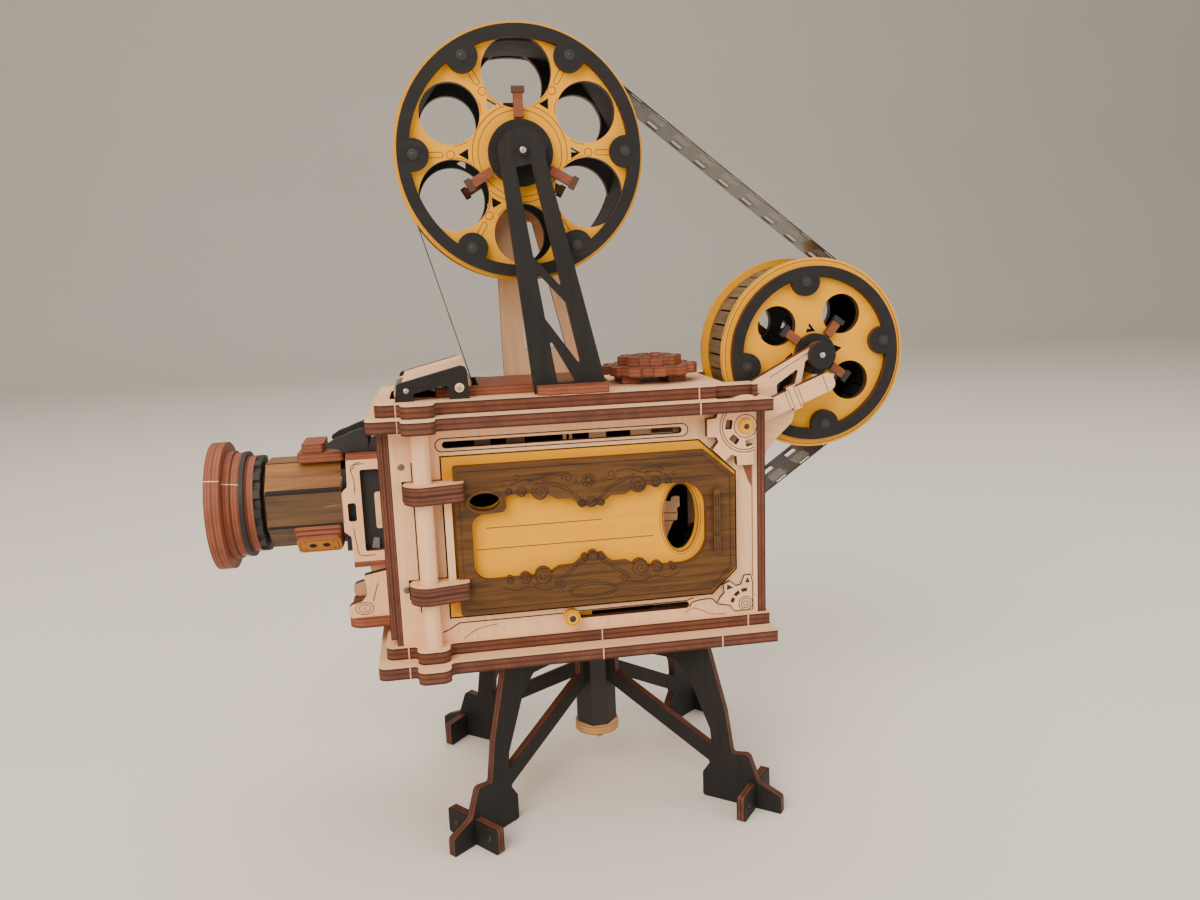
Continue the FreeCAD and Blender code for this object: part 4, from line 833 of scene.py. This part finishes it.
def reels():
    lines = Piece("top_reel_engraving", "yellow_ply", INK_YELLOW, "top_reel")
    rear_lines = Piece("rear_reel_engraving", "yellow_ply", INK_YELLOW, "rear_reel")
    for face in both(FLANGE):
        top_reel_lines(lines, face)
        rear_lines.loop(face, 0.24, ring(REAR_REEL, 32.2, steps=72))
    reel_details("top_reel", TOP_REEL, (6, 0, 34), 24, (3, 90, 18.4, 20.4), "brown_ply",
                 DARK_STAIN)
    reel_details("rear_reel", REAR_REEL, (4, 8, 25.2), 22.7, (4, 53, 13.2, 14.9), "black_ply",
                 BLACK_PAINT)


# ---- film


FILM_PITCH = 10.8
# What the film runs over: x, z, the film's radius and which way it turns there
FILM_STOPS = (
    (*TOP_REEL, 38.5, 1), (-37.1, 150.2, 4.65, -1), (-56, 148.8, 2.35, 1),
    (-53.2, 96, 5.45, 1), (19.7, 84.5, 12.5, 1), (*REAR_REEL, 31.3, 1),
)


def on_film(x, z, radius, turn, heading):
    """Where the film is at a stop when it heads that way."""
    return Vector((x + radius * turn * math.sin(heading), z - radius * turn * math.cos(heading)))


def film_path(step=0.3):
    """Points along the film's closed run."""
    runs = []
    for here, there in zip(FILM_STOPS, FILM_STOPS[1:] + FILM_STOPS[:1]):
        apart = Vector((there[0] - here[0], there[1] - here[1]))
        lean = math.asin((there[2] * there[3] - here[2] * here[3]) / apart.length)
        heading = math.atan2(apart.y, apart.x) - lean
        runs.append((on_film(*here, heading), on_film(*there, heading), heading))
    path = []
    for number, stop in enumerate(FILM_STOPS):
        arrive, leave = runs[number - 1][2], runs[number][2]
        radius, turn = stop[2:]
        swing = (leave - arrive) * turn % math.tau * turn
        count = max(2, round(abs(swing) * radius / step))
        path += [on_film(*stop, arrive + swing * part / count) for part in range(count)]
        start, end = runs[number][:2]
        count = max(2, round((end - start).length / step))
        path += [start.lerp(end, part / count) for part in range(count)]
    return path


def even_run(path, step):
    """The closed path again, cut into equal steps, a whole number of film pitches round."""
    marks = [0]
    for number, spot in enumerate(path):
        marks.append(marks[-1] + (path[(number + 1) % len(path)] - spot).length)
    count = round(marks[-1] / FILM_PITCH) * round(FILM_PITCH / step)
    spots = []
    place = 0
    for number in range(count):
        target = marks[-1] * number / count
        while marks[place + 1] < target:
            place += 1
        share = (target - marks[place]) / (marks[place + 1] - marks[place])
        spots.append(path[place].lerp(path[(place + 1) % len(path)], share))
    return spots


def film():
    """Endless strip: a row of holes, paler frames and narrow slots along the other edge."""
    step = 0.6
    spots = even_run(film_path(), step)
    pitch = round(FILM_PITCH / step)
    count = len(spots)
    rows = (-10.75, -10.1, -8.4, -7.7, 0.3, 3.2, 7.3, 10, 10.75)
    slot_row, frame_row, hole_row = 1, 3, 5
    mesh = bpy.data.meshes.new("film_strip")
    corners, faces, kinds = [], [], []
    for spot in spots:
        corners += [Vector((spot.x, y, spot.y)) * MM for y in rows]
    for number in range(count):
        after = (number + 1) % count
        in_hole = (number + 2) % pitch < 7
        in_frame = (number + 3) % pitch < 10
        for row in range(len(rows) - 1):
            if in_hole and row in (slot_row, hole_row):
                continue
            a, b = number * len(rows) + row, after * len(rows) + row
            faces.append((a, b, b + 1, a + 1))
            rim = row in (0, len(rows) - 2)
            kinds.append(2 if rim else 1 if row == frame_row and in_frame else 0)
    mesh.from_pydata(corners, [], faces)
    mesh.materials.append(smoky("film_base", (58, 54, 44), 0.8))
    mesh.materials.append(smoky("film_frame", (92, 86, 74), 0.6))
    mesh.materials.append(smoky("film_rim", (34, 30, 26), 0.92))
    mesh.polygons.foreach_set("material_index", kinds)
    mesh.shade_smooth()
    strip = placed("film_strip", mesh)
    thick = strip.modifiers.new("thickness", "SOLIDIFY")
    thick.thickness = 0.26 * MM
    thick.offset = 0
    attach(strip, "head")
    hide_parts("film_loop")


# ---- lens, roof and stand


def lens_details():
    """Dark joints between the slats, widened with painted shadow where a slat's edge shades the
    groove, the marks on the ears and the lines on the rings.
    """
    joints = Piece("barrel_joints_and_shadows", "walnut_ply", INK_WALNUT, soft=False)
    # Each joint's width on a slat's low and high edge; the wider strips are partly the joint and
    # partly painted shadow cast by the next slat's edge.
    edge = 5.92
    joint_shadow_widths = ((0.5, 0.9), (0.9, 0.25), (0.3, 0.3), (0.25, 0.9), (0.9, 0.5), (0.7, 0.4),
              (0.4, 0.4), (0.4, 0.7))
    for side, (low, high) in enumerate(joint_shadow_widths):
        for level, width in ((low / 2 - edge, low), (edge - high / 2, high)):
            path = [(-102.1, level), (-78, level)]
            joints.line(barrel_face(45 * side, 14.3), width, path, high=0.05)

    marks = Piece("ear_marks", "yellow_ply", INK_WALNUT)
    for angle in (225, 315):
        face = barrel_face(angle, 18.5)
        marks.loop(face, 0.18, [
            (-92.4, -2.6), (-91.8, -3.3), (-80.8, -3.3), (-80.2, -2.6), (-80.2, 2.6),
            (-80.8, 3.3), (-91.8, 3.3), (-92.4, 2.6)])
        for x in (-88.5, -84.1):
            marks.loop(face, 0.4, ring((x, 0), 1.05, steps=24))
        for spot in ((-91, -2.2), (-91, 2.2), (-81.6, -2.2), (-81.6, 2.2)):
            marks.plate(face, -0.03, 0.05, ring(spot, 0.3, steps=12))

    ring_line = Piece("lens_ring_lines", "brown_ply", INK, "focus")
    for radius in (18.6, 14.6):
        ring_line.loop(front(-120), 0.3, ring((0, LENS_Z), radius, steps=96), low=-0.12, high=0)
    glue = Piece("ring_seams", "natural_ply", PALE_SLIP, "focus")
    for radius, angle, low, high in (
        (21.5, 146, -120, -115.2), (18.3, 146, -115.2, -112.8), (17.6, 146, -112.8, -110),
        (17.6, 243, -112.6, -110), (16.3, 243, -108.4, -105.9),
    ):
        glue.line(barrel_face(angle, radius), 0.3, [(low + 0.05, -0.15), (high, 0.15)], high=0.04)


def gate_details():
    """Black film clip, dark liner with the pale upright in the gate, and the engraving."""
    clip = Piece("film_clip", "black_ply", BLACK_PAINT, soft=False)
    face = near(0)
    rim = [(-81.8, 131.2), (-81.6, 132.4), (-79, 134), (-76.2, 134.9), (-72.9, 136.2),
           (-70.4, 137), (-69.4, 136.8), (-69, 134.4), (-68.2, 133.4), (-68.2, 129.3),
           (-76.2, 129.3), (-78, 130.6)]
    for low in (8, -11):
        clip.plate(face, low, low + 3, rim)
    clip.plate(face, -8.1, 8.1, [(-75.8, 129.3), (-71, 129.3), (-71, 134.6), (-75.8, 133.6)])
    clip.plate(face, 8.6, 11.4, [
        (-67.6, 129.3), (-64.7, 129.3), (-64.7, 133.4), (-66.2, 134.2), (-67.2, 133.4)])

    liner = Piece("gate_liner", "black_ply", BLACK_PAINT, soft=False)
    upright = Piece("gate_upright", "natural_ply", BARE_BIRCH, soft=False)
    # Painted highlight: a plain pale grey plate stands for the glass slide's edge together with
    # the glint on it.
    grey = moulded("slide_edge_glint", (104, 106, 102), 0.3, 0.8)
    slide = Piece("gate_glass_edge_glint", "lens_glass", grey, soft=False)
    for face in both(11):
        liner.plate(face, -0.02, 0.12, [(-77.6, 95.6), (-64.7, 95.6), (-64.7, 124), (-77.6, 124)])
        upright.plate(face, 0.3, 1.2, [
            (-67, 103), (-64.7, 103), (-64.7, 115.6), (-66.8, 115.6), (-67.4, 115),
            (-67.4, 103.5)])
        slide.plate(face, 0.3, 1, [(-69.6, 96.3), (-66.9, 95.9), (-66.8, 99.6), (-68.6, 99.9)])

    lines = Piece("boot_engraving", "brown_ply", INK)
    boot, gate = near(-13.5), near(-14)
    eye = (-73.5, 75.6)
    lines.loop(boot, 0.22, ring(eye, (3, 2.1), steps=36), ring(eye, (1.9, 1.3), steps=36),
               [(-74, 75.2), (-73, 75.2), (-73.5, 76.2)])
    lines.line(boot, 0.26, [(-68.5, 84.2), (-69.4, 81.2), (-70.4, 78)])
    upper = smooth((-69.8, 125.8), (-71.6, 125.8), (-73.6, 125.5), (-74.3, 124.4), (-73.9, 122),
                   (-73.5, 120.1), (-73.6, 116.1))
    lower = smooth((-74.9, 104), (-74.2, 98), (-73.8, 95.3), (-72.1, 94.3), (-68.5, 94.5))
    lines.line(gate, 0.24, upper, lower)
    lines.line(gate, 0.2, smooth((-71, 126.4), (-72.8, 126), (-73.2, 125), (-74.4, 123.4)))


def roof_details():
    """Pin ends of the film guide, marks on the cogs, lines on the brackets and the lever."""
    pins = Piece("guide_pin_ends", "steel", STEEL)
    roller = Piece("guide_roller_ends", "steel", STEEL, "guide_roller")
    for face in both(22):
        pins.screw(face, (-54.2, 150), 0.85, 0.22)
        roller.screw(face, (-37.1, 150.2), 0.95, 0.22)
    marks = Piece("cog_marks", "brown_ply", INK)
    face = top(ROOF + 9)
    for radius in (7.8, 3, 1.2):
        marks.loop(face, 0.26, ring(COG, radius))
    for angle in range(0, 360, 45):
        marks.loop(face, 0.22, ring(polar(COG, 5.4, angle), 1.1, steps=16))
    marks.loop(top(ROOF + 6), 0.26, ring(COG, 13.4, steps=72))
    lines = Piece("bracket_engraving", "natural_ply", INK)
    for face in both(20.7):
        lines.line(face, 0.22, [(66.4, 139.6), (71.6, 137.4), (79.4, 143.6), (84.6, 151.4)],
                   [(68.6, 147.6), (83.4, 156)])
    collar = Piece("lever_engraving", "natural_ply", INK, "lever")
    lean = 21.5
    for distance, half in ((18.6, 3), (19.9, 4.1), (22.1, 4.1), (23.4, 3), (33, 3)):
        middle = polar(LEVER, distance, lean)
        ends = [polar(middle, half, lean + 90), polar(middle, half, lean - 90)]
        collar.line(near(-23.85), 0.2, ends)


def plate_ticks():
    """Pale slips where the sheets' edge tabs were cut free."""
    slips = Piece("edge_slips", "natural_ply", PALE_SLIP)
    for level, low, places in (
        (36, 58, (-58.9, 4.7, 46)), (29, 62, (-59.2, 5.6, 57.4)),
        (36, 138.5, (-57.3, 39.7)), (28, 142.5, (-57.8, 41.5)),
    ):
        for x in places:
            for face, u in zip(both(level), (x, 4 - x)):
                slips.line(face, 0.4, [(u, low + 0.1), (u, low + 3.9)])


def inside_details():
    """Lamp, coin cell, and the bits behind the header slot and the oval window."""
    lamp = Piece("lamp_dome", "lens_glass", clear_glass("lamp_dome"))
    dome = [(2.62 * math.cos(t), 4.4 + 2.62 * math.sin(t)) for t in (0.4, 0.8, 1.2)]
    profile = [(2.9, 0), (2.9, 0.9), (2.62, 1), (2.62, 4.4), *dome, (0, 7.02)]
    lamp.turned(front(-45.6), (0, LENS_Z), profile)
    cell = Piece("coin_cell", "steel", STEEL)
    cell.turned(top(68), (46, 0), [
        (0, 0.05), (9.6, 0.05), (9.8, 0.3), (9.8, 2.4), (9.2, 2.9), (8, 2.9), (7.9, 3.1),
        (0, 3.1)], 48)
    tabs = Piece("roof_tabs", "natural_ply", BARE_BIRCH, soft=False)
    high = 138.5
    for level, low, spans in (
        (-22, 130.3, ((-4.2, -3), (-2.1, -1.1), (4.6, 10.4), (18.7, 25.8), (33.3, 35.5))),
        (-12, 128.6, ((-33.2, -27.7), (-22.4, -16))),
    ):
        for start, end in spans:
            tabs.plate(near(level), 0, 0.8, [(start, low), (end, low), (end, high), (start, high)])
    rib = Piece("window_rib", "natural_ply", BARE_BIRCH, soft=False)
    rib.plate(near(-14.5), -0.05, 1, [
        (23, 94), (30.7, 93.4), (32.3, 92.7), (33.3, 95.2), (34.8, 98.3), (36, 98.5),
        (36.3, 100.7), (36, 102.6), (37.1, 103.4), (37, 107), (35.2, 107.1),
        (34, 106.7), (33.9, 105.5), (23, 105.5)])
    seams = Piece("window_rib_lines", "natural_ply", INK)
    seams.line(near(-15.5), 0.25, [(28, 101.6), (35.9, 101)], [(28, 98.5), (34.8, 98.3)])


def stand_details():
    """Screws of the legs' blocks."""
    heads = Piece("foot_screws", "steel", DARK_STEEL, "stand")
    for angle in LEGS.values():
        across, out = leg_ways(angle)
        face = (across, Z, out, X * STAND_X + out * 64)
        for side in (-8, 8):
            heads.screw(face, (side, 4.6), 1, 0.3)


# ---- stage


def floor():
    """Pale floor that curves up behind."""
    mesh = bpy.data.meshes.new("floor")
    bend, reach_back, high = 0.8, 1.6, 4
    rows = [(-3, 0), *ring((reach_back, bend), bend, -90, 0, 48), (reach_back + bend, high)]
    corners = [(x, y, z) for y, z in rows for x in (-4, 4)]
    faces = [(2 * row, 2 * row + 1, 2 * row + 3, 2 * row + 2) for row in range(len(rows) - 1)]
    mesh.from_pydata(corners, [], faces)
    mesh.shade_smooth()
    finish = Finish("pale_floor")
    haze = finish.noise(3, detail=2)
    colour = finish.mix(haze, (214, 208, 200), (220, 214, 207))
    mesh.materials.append(finish.made(colour, haze, 0.55, 0.65))
    ground = placed("floor", mesh)


def lights():
    """Soft light from the upper left, a fill from the right and one from above."""
    for name, spot, size, power, tint in (
        ("key", (-0.75, -0.95, 1.05), 1.1, 31, (1, 0.9, 0.77)),
        ("fill", (0.95, -0.7, 0.5), 1.2, 9.5, (1, 0.94, 0.87)),
        ("top", (0.1, 0.35, 1.3), 1.2, 14, (1, 0.93, 0.82)),
    ):
        data = bpy.data.lights.new(name, "AREA")
        data.shape = "SQUARE"
        data.size = size
        data.energy = power
        data.color = tint
        light = placed(name, data)
        light.location = spot
        aim = Vector((0, 0, 0.12)) - Vector(spot)
        light.rotation_euler = aim.to_track_quat("-Z", "Y").to_euler()
    world = bpy.data.worlds.new("studio")
    world.use_nodes = True
    background = world.node_tree.nodes["Background"]
    background.inputs["Color"].default_value = (0.86, 0.8, 0.72, 1)
    background.inputs["Strength"].default_value = 0.5
    bpy.context.scene.world = world


def camera():
    """The photograph's camera, solved from its straight edges."""
    focal_pixels, photo_width = 971, 1200
    lens = bpy.data.cameras.new("camera")
    lens.sensor_width = 36
    lens.sensor_fit = "HORIZONTAL"
    lens.lens = focal_pixels / photo_width * lens.sensor_width
    lens.clip_start = 0.01
    right = Vector((0.98457, -0.17121, -0.03618))
    down = Vector((-0.06655, -0.17511, -0.9823))
    ahead = Vector((0.16185, 0.96955, -0.1838))
    viewer = placed("camera", lens)
    turn = Matrix((right, -down, -ahead)).transposed().to_4x4()
    viewer.matrix_world = Matrix.Translation(Vector((-44.54, -338.59, 186.56)) * MM) @ turn
    bpy.context.scene.camera = viewer


dress_sheets()
dress_legs()
dress_others()

wall_details()
lever_and_latch_details()
overlay_details()
door_details()
reels()
film()
lens_details()
gate_details()
roof_details()
plate_ticks()
inside_details()
stand_details()
for piece in Piece.made:
    piece.finish()
floor()
lights()
camera()
